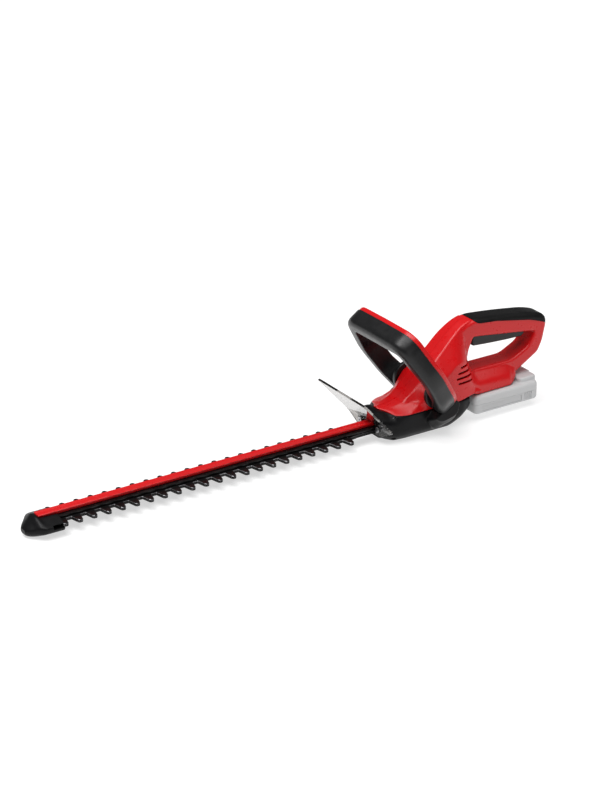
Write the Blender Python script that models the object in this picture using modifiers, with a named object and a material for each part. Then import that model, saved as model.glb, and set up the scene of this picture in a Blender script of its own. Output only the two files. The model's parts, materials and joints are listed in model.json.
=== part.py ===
"""Battery hedge trimmer, built as an assembly of separate named pieces.

Frame: +X runs forward along the blades, +Y is the tool's left side, +Z is up.
The origin is on the floor, in the middle of the flat belly, under the drive gear.
Every dimension below is in millimetres; make_mesh() turns millimetres into metres.
"""
import math

import bmesh
import bpy
from mathutils import Matrix, Vector

MM = 0.001
TOUCH = 0.3  # gap kept between pieces that rest on each other
WALL = 2.5  # thickness of the moulded shells

# ---- cutting gear
PITCH = 21.0  # tooth spacing
TEETH = 22  # teeth on each side of a blade
FIRST_TOOTH = 560.0  # x of the tooth nearest the tip
STROKE = 10.5  # travel of each blade
ECCENTRIC_OFFSET = STROKE / 2
BLADE_THICK = 2.0
BLADE_TOP = 18.0
UPPER_BLADE = (BLADE_TOP - BLADE_THICK, BLADE_TOP)
LOWER_BLADE = (UPPER_BLADE[0] - TOUCH - BLADE_THICK, UPPER_BLADE[0] - TOUCH)
TOOTH_ROOT_Y = 14.0
TOOTH_TIP_Y = 28.5
BLADE_END = 568.0
TANG_HALF = 12.0
YOKE_HALF = 20.0
YOKE_START = -28.0
YOKE_END = 30.0
SUPPORT_BAR = (BLADE_TOP + TOUCH, 22.0)
RAIL = (SUPPORT_BAR[1] + TOUCH, 28.0)
RAIL_HALF = 7.0
RAIL_START = 52.0
RAIL_END = 589.0
BAR_HALF = 11.0
BAR_END = 580.0
TIP_SCREW_X = 585.5
TIP_SCREW_Z = 5.0
TIP_STATIONS = (
    # x, (y, z) of the left half from the bottom up
    (562.0, ((10, 0), (20, 5), (27, 9), (28.5, 12), (28.5, 18.8), (8, 27.3))),
    (586.0, ((10, 0), (20, 5), (27, 9), (28.5, 12), (28.5, 18.4), (8, 27))),
    (592.0, ((9, 0), (18, 4.8), (25, 8.8), (26, 12), (25.4, 17.4), (7.6, 26.8))),
    (600.0, ((7, 0.6), (14, 4.8), (17, 8.2), (17.6, 11.5), (17, 14.5), (6, 20))),
    (606.0, ((5, 2.5), (8.5, 5), (10.5, 7.6), (11, 10), (10.5, 12), (4, 14.5))),
    (609.0, ((3, 5), (5, 6.3), (6, 7.6), (6.2, 9), (5.8, 10.3), (2.5, 11.5))),
)
BOLT_X = (128.0, 233.0, 338.0, 443.0, 548.0)
BOLT_SHANK = 2.4
BOLT_HEAD = 4.8
SLOT_HALF = BOLT_SHANK + 0.4

# ---- drive
GEAR_TEETH = 36
PINION_TEETH = 10
MODULE = 1.5
GEAR_Z = (26.0, 33.0)
AXLE_RADIUS = 3.0
ECCENTRIC_RADIUS = 9.5
MOTOR_X = -MODULE * (GEAR_TEETH + PINION_TEETH) / 2
MOTOR_RADIUS = 17.5
MOTOR_Z = (43.5, 88.0)
SHAFT_RADIUS = 1.6
COVER_Z = (36.5, 40.0)

# ---- body
BELLY_HALF = 38.0
SEAM_Z = 40.0  # top of the black gear case
GRIP_HALF = 17.0
TRIGGER_HINGE = (-183.0, 112.0)
CORE_HALF = 13.7  # red core under the soft grip
ARM_HALF = 30.0
HOUSING_SPLIT = 0.15  # half of the gap between the two housing shells

# ---- front loop handle
LOOP_FOOT = Vector((-27.0, 0.0, 38.0))
LOOP_LEAN = math.radians(34.0)  # forward lean of the loop
LOOP_RADIAL = 20.0  # thickness of the loop in its own plane
LOOP_DEPTH = 31.0
LOOP_START = 12.0  # height of the feet's ends along the lean
LOOP_FOOT_Y = 49.0  # half of the distance between the loop's feet
BAR_CAP = 5.5  # depth of the red bar behind the black shell
BAR_TRAVEL = 4.5  # gap that the switch bar closes when squeezed
BAR_HINGE = (-21.0, 54.0)
PIN_RADIUS = 1.8

# ---- battery
PACK_X = (-196.0, -84.0)
PACK_HALF = 37.0
PACK_Z = (10.0, 38.0)
PACK_SPLIT = 25.0
PACK_HUMP_Z = 45.0
SHOE_X = (-157.0, -90.6)
HOUSING_SCREWS = ((-120.0, 60.0), (-186.0, 69.0), (-209.0, 95.0))

# pieces whose many cuts leave open edges with the exact solver
MANIFOLD_PIECES = ("gear_case", "housing_left", "housing_right", "loop_shell", "switch_bar")

COLOURS = {
    "red_plastic": ((0.72, 0.012, 0.014), 0.35, 0.0),
    "red_rail": ((0.75, 0.02, 0.02), 0.4, 0.3),
    "black_plastic": ((0.018, 0.018, 0.02), 0.5, 0.0),
    "soft_grip": ((0.012, 0.012, 0.013), 0.75, 0.0),
    "dark_steel": ((0.05, 0.05, 0.055), 0.35, 0.9),
    "bright_steel": ((0.55, 0.55, 0.57), 0.3, 1.0),
    "clear_plastic": ((0.75, 0.76, 0.78), 0.1, 0.0),
    "grey_plastic": ((0.42, 0.43, 0.44), 0.5, 0.0),
    "brass": ((0.7, 0.5, 0.2), 0.35, 1.0),
    "circuit_green": ((0.03, 0.2, 0.07), 0.5, 0.0),
    "cell_wrap": ((0.05, 0.25, 0.45), 0.4, 0.0),
}


# ------------------------------------------------------------------ helpers
def clear_scene():
    for obj in list(bpy.data.objects):
        bpy.data.objects.remove(obj, do_unlink=True)


def make_collection(name):
    collection = bpy.data.collections.new(name)
    bpy.context.scene.collection.children.link(collection)
    return collection


clear_scene()
PARTS = make_collection("hedge_trimmer")
CUTTERS = make_collection("cutters")


def material(name):
    """The named material, made once."""
    found = bpy.data.materials.get(name)
    if found:
        return found
    colour, roughness, metallic = COLOURS[name]
    made = bpy.data.materials.new(name)
    made.use_nodes = True
    shader = made.node_tree.nodes["Principled BSDF"]
    shader.inputs["Base Color"].default_value = (*colour, 1.0)
    shader.inputs["Roughness"].default_value = roughness
    shader.inputs["Metallic"].default_value = metallic
    return made


def add_object(name, mesh, finish):
    obj = bpy.data.objects.new(name, mesh)
    mesh.materials.append(material(finish))
    PARTS.objects.link(obj)
    return obj


def make_mesh(name, bm):
    """Turn a bmesh drawn in millimetres into a mesh in metres."""
    bmesh.ops.scale(bm, vec=(MM, MM, MM), verts=bm.verts)
    bmesh.ops.recalc_face_normals(bm, faces=bm.faces)
    mesh = bpy.data.meshes.new(name)
    bm.to_mesh(mesh)
    bm.free()
    return mesh


def box(name, low, high, finish="black_plastic"):
    bm = bmesh.new()
    bmesh.ops.create_cube(bm, size=1.0)
    low, high = Vector(low), Vector(high)
    bmesh.ops.scale(bm, vec=high - low, verts=bm.verts)
    bmesh.ops.translate(bm, vec=(low + high) / 2, verts=bm.verts)
    return add_object(name, make_mesh(name, bm), finish)


def along(axis):
    """Rotation that takes a drawing's (u, v) plane and its normal to the named axis.

    z: (u, v) is (x, y).  y: (u, v) is (x, z).  x: (u, v) is (y, z).
    """
    if axis == "z":
        return Matrix.Identity(4)
    if axis == "y":
        return Matrix.Rotation(math.radians(90), 4, "X")
    return Matrix(((0, 0, 1, 0), (1, 0, 0, 0), (0, 1, 0, 0), (0, 0, 0, 1)))


def rod(name, radius, low, high, centre, axis="z", finish="bright_steel", sides=24):
    """Round bar from low to high along an axis; centre is the (u, v) of along()."""
    bm = bmesh.new()
    bmesh.ops.create_cone(bm, cap_ends=True, segments=sides, radius1=radius, radius2=radius, depth=high - low)
    middle = (low + high) / 2
    if axis == "y":
        middle = -middle
    bmesh.ops.translate(bm, vec=(centre[0], centre[1], middle), verts=bm.verts)
    bmesh.ops.transform(bm, matrix=along(axis), verts=bm.verts)
    return add_object(name, make_mesh(name, bm), finish)


def rounded(corners, arc_step=24):
    """Outline from (u, v) or (u, v, radius) corners, each radius drawn as an arc of short chords."""
    outline = []
    count = len(corners)
    for index, corner in enumerate(corners):
        here = Vector(corner[:2])
        if len(corner) < 3:
            outline.append(tuple(here))
            continue
        before = (Vector(corners[index - 1][:2]) - here).normalized()
        after = (Vector(corners[(index + 1) % count][:2]) - here).normalized()
        half = before.angle(after) / 2
        inward = (before + after).normalized()
        centre = here + inward * corner[2] / math.sin(half)
        start = (here + before * corner[2] / math.tan(half)) - centre
        turn = start.angle_signed((here + after * corner[2] / math.tan(half)) - centre)
        steps = max(1, round(abs(math.degrees(turn)) / arc_step))
        for step in range(steps + 1):
            arm = start.copy()
            arm.rotate(Matrix.Rotation(-turn * step / steps, 2))
            outline.append(tuple(centre + arm))
    return outline


def circle(centre, radius, sides=24):
    points = []
    for step in range(sides):
        angle = 2 * math.pi * step / sides
        points.append((centre[0] + radius * math.cos(angle), centre[1] + radius * math.sin(angle)))
    return points


def plate_mesh(name, outlines, low, high):
    """Flat outlines, the inner ones as holes, extruded from low to high along local Z."""
    curve = bpy.data.curves.new(name, "CURVE")
    curve.dimensions = "2D"
    curve.fill_mode = "BOTH"
    curve.extrude = (high - low) / 2 * MM
    for outline in outlines:
        spline = curve.splines.new("POLY")
        spline.points.add(len(outline) - 1)
        for point, (u, v) in zip(spline.points, outline):
            point.co = (u * MM, v * MM, 0, 1)
        spline.use_cyclic_u = True
    drawing = bpy.data.objects.new(name, curve)
    CUTTERS.objects.link(drawing)
    bpy.context.view_layer.update()
    graph = bpy.context.evaluated_depsgraph_get()
    mesh = bpy.data.meshes.new_from_object(drawing.evaluated_get(graph))
    bpy.data.objects.remove(drawing, do_unlink=True)
    bm = bmesh.new()
    bm.from_mesh(mesh)
    bmesh.ops.remove_doubles(bm, verts=bm.verts, dist=1e-6)
    bmesh.ops.translate(bm, vec=(0, 0, (low + high) / 2 * MM), verts=bm.verts)
    bmesh.ops.recalc_face_normals(bm, faces=bm.faces)
    bm.to_mesh(mesh)
    bm.free()
    return mesh


def plate(name, outlines, axis, low, high, finish="black_plastic"):
    """Plate whose outline is drawn across the axis and which runs from low to high along it."""
    if axis == "y":
        low, high = -high, -low
    mesh = plate_mesh(name, outlines, low, high)
    mesh.transform(along(axis))
    return add_object(name, mesh, finish)


def loft(name, rings, finish="black_plastic"):
    """Closed skin through rings of the same number of (x, y, z) points."""
    bm = bmesh.new()
    rows = [[bm.verts.new(point) for point in ring] for ring in rings]
    for row, following in zip(rows, rows[1:]):
        for index in range(len(row)):
            ahead = (index + 1) % len(row)
            bm.faces.new((row[index], row[ahead], following[ahead], following[index]))
    bm.faces.new(rows[0])
    bm.faces.new(rows[-1])
    bmesh.ops.triangulate(bm, faces=bm.faces)
    return add_object(name, make_mesh(name, bm), finish)


def section_ring(x, half):
    """Ring across X from the (y, z) points of its left half, listed from the bottom up."""
    left = [(x, y, z) for y, z in half]
    right = [(x, -y, z) for y, z in reversed(half)]
    return left + right


def bevel(obj, width, segments=2, angle=35):
    modifier = obj.modifiers.new("bevel", "BEVEL")
    modifier.width = width * MM
    modifier.segments = segments
    modifier.limit_method = "ANGLE"
    modifier.angle_limit = math.radians(angle)
    modifier.use_clamp_overlap = True


def as_cutter(obj):
    if obj.name in PARTS.objects:
        PARTS.objects.unlink(obj)
        CUTTERS.objects.link(obj)
    obj.hide_render = True
    obj.display_type = "WIRE"
    return obj


def combine(obj, operation, others):
    for other in others:
        modifier = obj.modifiers.new(operation.lower(), "BOOLEAN")
        modifier.operation = operation
        modifier.solver = "MANIFOLD" if obj.name in MANIFOLD_PIECES else "EXACT"
        modifier.object = as_cutter(other)
    return obj


def cut(obj, *others):
    return combine(obj, "DIFFERENCE", others)


def join(obj, *others):
    return combine(obj, "UNION", others)


def keep_inside(obj, *others):
    return combine(obj, "INTERSECT", others)


def pivot(name, at, *pieces):
    """Empty on a joint's axis that the moving pieces are parented to."""
    empty = bpy.data.objects.new(name, None)
    empty.location = Vector(at) * MM
    empty.empty_display_size = 0.02
    PARTS.objects.link(empty)
    bpy.context.view_layer.update()
    for piece in pieces:
        piece.parent = empty
        piece.matrix_parent_inverse = empty.matrix_world.inverted()
    return empty


# ------------------------------------------------------------------ cutting gear
def tooth_side(side):
    """Points along one side of a blade, from its rear to its tip, side being +1 or -1."""
    points = []
    for index in reversed(range(TEETH)):
        x = FIRST_TOOTH - index * PITCH
        shape = ((-6.6, TOOTH_ROOT_Y), (-3.6, 26.6), (-1.8, TOOTH_TIP_Y))
        points += [(x + dx, side * y) for dx, y in shape]
        points += [(x - dx, side * y) for dx, y in reversed(shape)]
    return points


def blade(name, height, forward):
    """Toothed blade with a yoke window at its rear; forward is the way it leaves rest."""
    left = [(YOKE_START, YOKE_HALF), (YOKE_END, YOKE_HALF), (YOKE_END + 8, TANG_HALF), (98.0, TANG_HALF)]
    left += tooth_side(1) + [(BLADE_END, TOOTH_ROOT_Y), (BLADE_END + 2, TOOTH_ROOT_Y - 3)]
    outline = left + [(x, -y) for x, y in reversed(left)]
    sweep = ECCENTRIC_OFFSET + ECCENTRIC_RADIUS + 0.5
    window_rear, window_front = -sweep, sweep
    if forward > 0:
        window_rear -= STROKE
    else:
        window_front += STROKE
    window = rounded([(window_rear, -sweep, 3), (window_front, -sweep, 3),
                      (window_front, sweep, 3), (window_rear, sweep, 3)], 45)
    slots = []
    for x in BOLT_X:
        rear = x - SLOT_HALF - (STROKE if forward > 0 else 0)
        front = x + SLOT_HALF + (0 if forward > 0 else STROKE)
        slots.append(rounded([(rear, -SLOT_HALF, 2), (front, -SLOT_HALF, 2),
                              (front, SLOT_HALF, 2), (rear, SLOT_HALF, 2)], 30))
    return plate(name, [outline, window] + slots, "z", *height, finish="dark_steel")


def blade_bar():
    outline = [(RAIL_START, -BAR_HALF), (BAR_END - 20, -BAR_HALF), (BAR_END, -5), (BAR_END, 5),
               (BAR_END - 20, BAR_HALF), (RAIL_START, BAR_HALF)]
    holes = [circle((x, 0), BOLT_SHANK + TOUCH, 12) for x in BOLT_X]
    return plate("support_bar", [outline] + holes, "z", *SUPPORT_BAR, finish="dark_steel")


def blade_rail():
    half, (low, high) = RAIL_HALF, RAIL
    section = [(-half, low), (half, low), (half, high - 1.2), (half - 1.2, high), (2.2, high),
               (1.4, high - 0.7),
               (-1.4, high - 0.7), (-2.2, high), (-half + 1.2, high), (-half, high - 1.2)]
    rail = plate("blade_rail", [section], "x", RAIL_START, RAIL_END, "red_rail")
    for index, x in enumerate(BOLT_X):
        cut(rail, rod(f"rail_hole_{index}", BOLT_SHANK + TOUCH, low - 2, low + 3, (x, 0), sides=12))
    return cut(rail, rod("rail_tip_hole", 1.9, low - 2, low + 3, (TIP_SCREW_X, 0), sides=12))


def headed_bolt(name, x, head_z, top, shank, head, finish="bright_steel"):
    """Bolt pushed up from below: its head ends at head_z, its shank at top."""
    bolt = rod(name, head, head_z - 2.6, head_z, (x, 0), finish=finish, sides=16)
    join(bolt, rod(f"{name}_shank", shank, head_z - 1, top, (x, 0), sides=12))
    return cut(bolt, rod(f"{name}_socket", 2.2, head_z - 3.5, head_z - 1.4, (x, 0), sides=6))


def tip_guard():
    """Blunt nose that closes the front of the blades, with a slot that the blades' ends run in."""
    guard = loft("tip_guard", [section_ring(x, half) for x, half in TIP_STATIONS])
    low, high = LOWER_BLADE[0] - 0.8, UPPER_BLADE[1] + TOUCH
    reach = BLADE_END + 2 + STROKE + TOUCH
    bar_end, rail_end = BAR_END + 0.4, RAIL_END + TOUCH
    bar_half, rail_half = BAR_HALF + 0.4, RAIL_HALF + TOUCH
    return cut(guard, box("tip_tooth_slot", (550, -40, low), (FIRST_TOOTH + STROKE + 8, 40, high)),
               box("tip_blade_room", (560, -TOOTH_ROOT_Y - 1, low), (reach, TOOTH_ROOT_Y + 1, high)),
               box("tip_bar_room", (550, -bar_half, high - 1), (bar_end, bar_half, RAIL[0])),
               box("tip_rail_room", (550, -rail_half, RAIL[0] - 1), (rail_end, rail_half, 40)),
               rod("tip_screw_room", 3.5, -5, TIP_SCREW_Z + TOUCH, (TIP_SCREW_X, 0), sides=12),
               rod("tip_screw_hole", 1.9, 0, 30, (TIP_SCREW_X, 0), sides=12))


def cutting_gear():
    upper = blade("upper_blade", UPPER_BLADE, 1)
    lower = blade("lower_blade", LOWER_BLADE, -1)
    pivot("upper_blade_slide", (0, 0, UPPER_BLADE[0]), upper)
    pivot("lower_blade_slide", (0, 0, LOWER_BLADE[0]), lower)
    blade_bar()
    blade_rail()
    for index, x in enumerate(BOLT_X):
        headed_bolt(f"blade_bolt_{index + 1}", x, LOWER_BLADE[0] - TOUCH, RAIL[0] + 2.5,
                    BOLT_SHANK, BOLT_HEAD)
    tip_guard()
    headed_bolt("tip_screw", TIP_SCREW_X, TIP_SCREW_Z, RAIL[0] + 2.5, 1.5, 3.2)


# ------------------------------------------------------------------ drive
def gear_outline(teeth, phase):
    """Gear outline with narrow trapezium teeth that leave running clearance."""
    radius = MODULE * teeth / 2
    step = 2 * math.pi / teeth
    tooth = ((-0.30, -1.15), (-0.13, 0.85), (0.13, 0.85), (0.30, -1.15))
    points = []
    for index in range(teeth):
        for turn, rise in tooth:
            angle = step * (index + turn * 0.8) + phase
            reach = radius + rise * MODULE
            points.append((reach * math.cos(angle), reach * math.sin(angle)))
    return points


def shifted(points, du, dv):
    return [(u + du, v + dv) for u, v in points]


def drive_train():
    teeth = gear_outline(GEAR_TEETH, 0.0)
    bore = circle((0, 0), AXLE_RADIUS + TOUCH, 16)
    gear = plate("drive_gear", [teeth, bore], "z", *GEAR_Z, finish="bright_steel")
    axle = rod("gear_axle", AXLE_RADIUS, 6.4, 45.0, (0, 0), finish="bright_steel", sides=16)
    discs = []
    for name, height, side in (("upper_eccentric", UPPER_BLADE, -1), ("lower_eccentric", LOWER_BLADE, 1)):
        edge = circle((side * ECCENTRIC_OFFSET, 0), ECCENTRIC_RADIUS, 20)
        discs.append(plate(name, [edge, bore], "z", height[0] + 0.2, height[1] - 0.2, finish="bright_steel"))
    pivot("gear_spin", (0, 0, GEAR_Z[0]), gear, axle, *discs)
    half_tooth = math.pi / PINION_TEETH
    pinion_teeth = shifted(gear_outline(PINION_TEETH, half_tooth), MOTOR_X, 0)
    pinion_bore = circle((MOTOR_X, 0), SHAFT_RADIUS + TOUCH, 12)
    pinion = plate("motor_pinion", [pinion_teeth, pinion_bore], "z", *GEAR_Z, finish="brass")
    shaft = rod("motor_shaft", SHAFT_RADIUS, GEAR_Z[0] - 1, MOTOR_Z[1] + 4, (MOTOR_X, 0), sides=12)
    fan_hub = circle((MOTOR_X, 0), SHAFT_RADIUS + TOUCH, 12)
    fan_low = MOTOR_Z[1] + 0.6
    fan = plate("motor_fan", [fan_outline(), fan_hub], "z", fan_low, fan_low + 3, "black_plastic")
    pivot("motor_spin", (MOTOR_X, 0, GEAR_Z[0]), pinion, shaft, fan)


def fan_outline(blades=7):
    points = []
    step = 2 * math.pi / blades
    for index in range(blades):
        for turn, reach in ((0.0, 5.0), (0.08, 14.0), (0.30, 14.5), (0.55, 5.0)):
            angle = step * (index + turn)
            points.append((MOTOR_X + reach * math.cos(angle), reach * math.sin(angle)))
    return points


def motor_and_bearings():
    can_ring = [circle((MOTOR_X, 0), MOTOR_RADIUS, 28), circle((MOTOR_X, 0), SHAFT_RADIUS + 0.4, 12)]
    can = plate("motor_can", can_ring,
                "z", *MOTOR_Z, finish="bright_steel")
    bevel(can, 1.5, 2, 60)
    ring = [circle((0, 0), 8.0, 20), circle((0, 0), AXLE_RADIUS + 0.15, 16)]
    plate("lower_bearing", ring, "z", 6.2, 9.8, finish="bright_steel")
    plate("upper_bearing", ring, "z", COVER_Z[0], COVER_Z[1] + 1.5, finish="bright_steel")
    outline = rounded([(-52, -26, 8), (16, -32, 14), (37, -14, 8), (37, 14, 8), (16, 32, 14), (-52, 26, 8)])
    holes = [circle((0, 0), 8.0 + TOUCH, 20), circle((MOTOR_X, 0), 5.0, 16)]
    plate("gear_cover", [outline] + holes, "z", *COVER_Z, finish="grey_plastic")


# ------------------------------------------------------------------ gear case
GUARD_FOOT = (72.0, 27.0)  # front of the hand guard at its bend
GUARD_TOP = (120.0, 81.0)
GUARD_THICK = 3.0
GUARD_SCREW = (21.0, 22.5)
CASE_SCREWS = ((-66.0, 20.0, 14.0), (-66.0, -20.0, 14.0), (50.0, 27.0, 12.0), (50.0, -27.0, 12.0))
CASE_STATIONS = (
    # x, (y, z) of the left half from the bottom up
    (84.0, ((17, 10), (24, 17), (24, 34), (14, 45))),
    (68.0, ((21, 8), (30, 16), (31, 34), (15, 46))),
    (56.0, ((22, 3), (33, 13), (34, 32), (16, 43.4))),
    (45.0, ((24, 0), (36, 12), (36.5, 32), (33, SEAM_Z))),
    (28.0, ((26, 0), (37, 12), (BELLY_HALF, 32), (BELLY_HALF, SEAM_Z))),
    (-40.0, ((26, 0), (37, 11), (BELLY_HALF, 32), (BELLY_HALF, SEAM_Z))),
    (-60.0, ((24, 5), (36, 16), (BELLY_HALF, 32), (BELLY_HALF, SEAM_Z))),
    (-76.0, ((22, 16), (32, 24), (34, 32), (34, SEAM_Z))),
)
EAR_OUTLINE = ((-40, 22, 8), (-8, 16, 8), (0, 32, 6), (-8.6, 39.2), (-32.8, 55.5), (-41, 50, 4))


def gear_case():
    case = loft("gear_case", [section_ring(x, half) for x, half in CASE_STATIONS])
    for name, side in (("left", 1), ("right", -1)):
        low, high = sorted((side * 38.3, side * 58.0))
        ear = plate(f"case_ear_{name}", [rounded(EAR_OUTLINE)], "y", low, high)
        bevel(ear, 3.0, 2, 50)
        low, high = sorted((side * 30.0, side * 40.0))
        join(case, ear, box(f"ear_root_{name}", (-42, low, 24), (-6, high, 38)))
    cavity = rounded([(-56, -27, 8), (18, -34, 14), (39, -14, 8), (39, 14, 8), (18, 34, 14), (-56, 27, 8)])
    pocket = rounded([(-40, -26, 6), (20, -26, 8), (33, -10, 6), (33, 10, 6), (20, 26, 8), (-40, 26, 6)])
    low = LOWER_BLADE[0] - 2
    cut(case, plate("case_cavity", [cavity], "z", low + 9, 60),
        plate("case_pocket", [pocket], "z", low, 40),
        box("case_blade_way", (20, -YOKE_HALF - 1, low), (100, YOKE_HALF + 1, SUPPORT_BAR[0])),
        box("case_bar_way", (RAIL_START - 0.4, -11.4, SUPPORT_BAR[0] - 1), (100, 11.4, RAIL[0])),
        box("case_rail_way", (RAIL_START - 0.4, -7.4, RAIL[0] - 1), (100, 7.4, RAIL[1] + 0.4)),
        rod("case_bearing_seat", 8.0 + TOUCH, 6.0, 20, (0, 0), sides=20))
    foot, top = GUARD_FOOT, GUARD_TOP
    lean = (top[0] - foot[0]) / (top[1] - foot[1])
    front = foot[0] - GUARD_THICK - TOUCH
    nose = [(front, -5), (front, foot[1] + 1), (front + lean * 40, foot[1] + 41), (200, 70), (200, -5)]
    cut(case, plate("case_nose", [nose], "y", -60, 60))
    for index, (x, y, low) in enumerate(CASE_SCREWS):
        cut(case, rod(f"case_screw_room_{index}", 3.5, -2, low + 3.3, (x, y), sides=12),
            rod(f"case_screw_hole_{index}", 1.9, low, 38.5, (x, y), sides=12))
        screw = rod(f"case_screw_{index + 1}", 3.2, low, low + 3, (x, y), sides=12)
        join(screw, rod(f"case_screw_shank_{index}", 1.6, low + 1, 38, (x, y), sides=12))
    for name, side in (("left", 1), ("right", -1)):
        y, z = side * GUARD_SCREW[0], GUARD_SCREW[1]
        cut(case, rod(f"guard_hole_{name}", 1.9, 50, 75, (y, z), "x", sides=12))
    return case


# ------------------------------------------------------------------ housing
HANDLE_OUTLINE = (
    (-60, 44, 4), (-60, 130, 14), (-88, 147.5, 14), (-141, 142, 40), (-198, 134, 24), (-225, 125, 12),
    (-217, 88, 10), (-209, 72, 10), (-180, 55, 8), (-168, 47.5, 5), (-160, 43), (-90, 43, 4),
)
HAND_OPENING = (
    (-93, 121, 3), (-88, 109, 6), (-80, 90, 8), (-87, 71, 7), (-162, 71, 16), (-191, 85, 12), (-203, 106, 3),
)
HOUSING_STATIONS = (
    # x, (y, z) of the left half from the bottom up
    (62.0, ((5, 45.5), (4.6, 46), (4, 46.5), (2, 47))),
    (54.0, ((16, 44), (15, 45.5), (13, 47), (6, 49))),
    (45.0, ((33, SEAM_Z + TOUCH), (30, 42.5), (25, 45), (10, 49.5))),
    (24.0, ((BELLY_HALF, SEAM_Z + TOUCH), (34.5, 43.5), (30, 47), (12, 52))),
    (14.0, ((BELLY_HALF, SEAM_Z + TOUCH), (36, 46.5), (33, 53), (13, 60))),
    (10.0, ((BELLY_HALF, SEAM_Z + TOUCH), (36, 49), (33, 59), (13, 72))),
    (2.0, ((BELLY_HALF, SEAM_Z + TOUCH), (36.5, 51), (34, 63), (13, 79))),
    (-10.0, ((BELLY_HALF, SEAM_Z + TOUCH), (37, 54), (35, 68), (14, 86))),
    (-35.0, ((BELLY_HALF, SEAM_Z + TOUCH), (37.5, 60), (36, 82), (16, 111))),
    (-55.0, ((BELLY_HALF, SEAM_Z + TOUCH), (37, 66), (35, 96), (15, 129.5))),
    (-72.0, ((37, 44), (35, 70), (28, 94), (14, 141))),
    (-80.0, ((36, 45), (30.5, 71), (19, 92), (13.8, 144))),
    (-88.0, ((35, 46), (20, 70), (15, 88), (13.6, 146))),
    (-97.0, ((33, 44), (17, 62), (15, 68), (13.5, 72))),
)
VENTS = ((-53, 64.5), (-50, 72), (-53, 79.5), (-58, 87))  # front end and lower edge of each slot
ARM_STATIONS = (
    (-80.0, ((34, 46), (32, 64), (13.6, 74))),
    (-96.0, ((ARM_HALF + 1, 38.3), (ARM_HALF, 55), (13.6, 72.5))),
    (-150.0, ((ARM_HALF, 38.3), (ARM_HALF - 3, 52), (13.6, 72))),
    (-166.0, ((22, 44), (20, 54), (13.6, 70))),
)


def offset_outline(corners, distance):
    """Outline moved in by distance; corners run clockwise or anticlockwise without crossing."""
    count = len(corners)
    area = sum(corners[i - 1][0] * corners[i][1] - corners[i][0] * corners[i - 1][1] for i in range(count))
    turn = 1 if area > 0 else -1
    moved = []
    for index, corner in enumerate(corners):
        here = Vector(corner[:2])
        back = (here - Vector(corners[index - 1][:2])).normalized()
        front = (Vector(corners[(index + 1) % count][:2]) - here).normalized()
        normal_back = Vector((-back.y, back.x)) * turn
        normal_front = Vector((-front.y, front.x)) * turn
        middle = (normal_back + normal_front).normalized()
        point = here + middle * distance / middle.dot(normal_back)
        radius = corner[2] if len(corner) > 2 else 0
        moved.append((point.x, point.y, max(radius - distance, 1.0)) if radius else (point.x, point.y))
    return moved


def lofted(name, stations, inset):
    rings = []
    for x, half in stations:
        moved = []
        for index, (y, z) in enumerate(half):
            moved.append((y - inset, z + (-inset if index else -2 * inset)))
        rings.append(section_ring(x, moved))
    return loft(name, rings, "red_plastic")


def housing_solid(name):
    """Both housing halves as one hollow solid, before it is split."""
    shell = lofted(name, HOUSING_STATIONS, 0)
    rings = [rounded(HANDLE_OUTLINE), rounded(HAND_OPENING)]
    handle = plate(f"{name}_handle", rings, "y", -GRIP_HALF, GRIP_HALF)
    bevel(handle, 5.0, 2, 40)
    join(shell, lofted(f"{name}_arm", ARM_STATIONS, 0))
    cut(shell, plate(f"{name}_hand_room", [rounded(HAND_OPENING)], "y", -60, 60))
    join(shell, handle)
    grip_block = plate(f"{name}_grip_block", [grip_block_outline()], "y", -40, 40)
    core_outline = rounded(offset_outline(HANDLE_OUTLINE, 3.3))
    core = plate(f"{name}_core", [core_outline, rounded(HAND_OPENING)], "y", -CORE_HALF, CORE_HALF)
    cut(shell, grip_block)
    join(shell, core)
    return shell


def grip_block_outline():
    return rounded([(-90, 175), (-90, 149), (-97, 140.5), (-132, 137), (-191, 125.5), (-210, 119.5, 8),
                    (-226, 112), (-260, 112), (-260, 175)])


def housing_half(name, side):
    shell = housing_solid(name)
    inner = lofted(f"{name}_inner", HOUSING_STATIONS[:-2], WALL)
    ring = [rounded(offset_outline(HANDLE_OUTLINE, 3.3 + WALL)), rounded(offset_outline(HAND_OPENING, -WALL))]
    hollow = plate(f"{name}_hollow", ring, "y", -CORE_HALF + WALL, CORE_HALF - WALL)
    slot = box(f"{name}_trigger_slot", (-193, -10.5, 100), (-90, 10.5, 124))
    under = box(f"{name}_shoe_room", (SHOE_X[0] - TOUCH, -24, 30), (SHOE_X[1] + TOUCH, 24, 47))
    if side > 0:
        away_low, away_high = (-300, -60, -10), (200, HOUSING_SPLIT, 200)
    else:
        away_low, away_high = (-300, -HOUSING_SPLIT, -10), (200, 60, 200)
    pin_seat = rod(f"{name}_pin_seat", PIN_RADIUS + TOUCH, -13.1, 13.1, TRIGGER_HINGE, "y", sides=12)
    cut(shell, inner, hollow, slot, under, pin_seat, box(f"{name}_other_side", away_low, away_high))
    for index in range(4):
        cut(shell, vent_slot(f"{name}_vent_{index}", index, side))
    return shell


def vent_slot(name, index, side):
    """Level slot round the rear corner of the motor room."""
    front, height = VENTS[index]
    low, high = sorted((side * 18.3, side * 50))
    corners = [(-80.3, height), (-80.3, height + 3), (front, height + 3), (front, height)]
    outline = rounded([(x, z, 1.2) for x, z in corners])
    return plate(name, [outline], "y", low, high)


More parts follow.
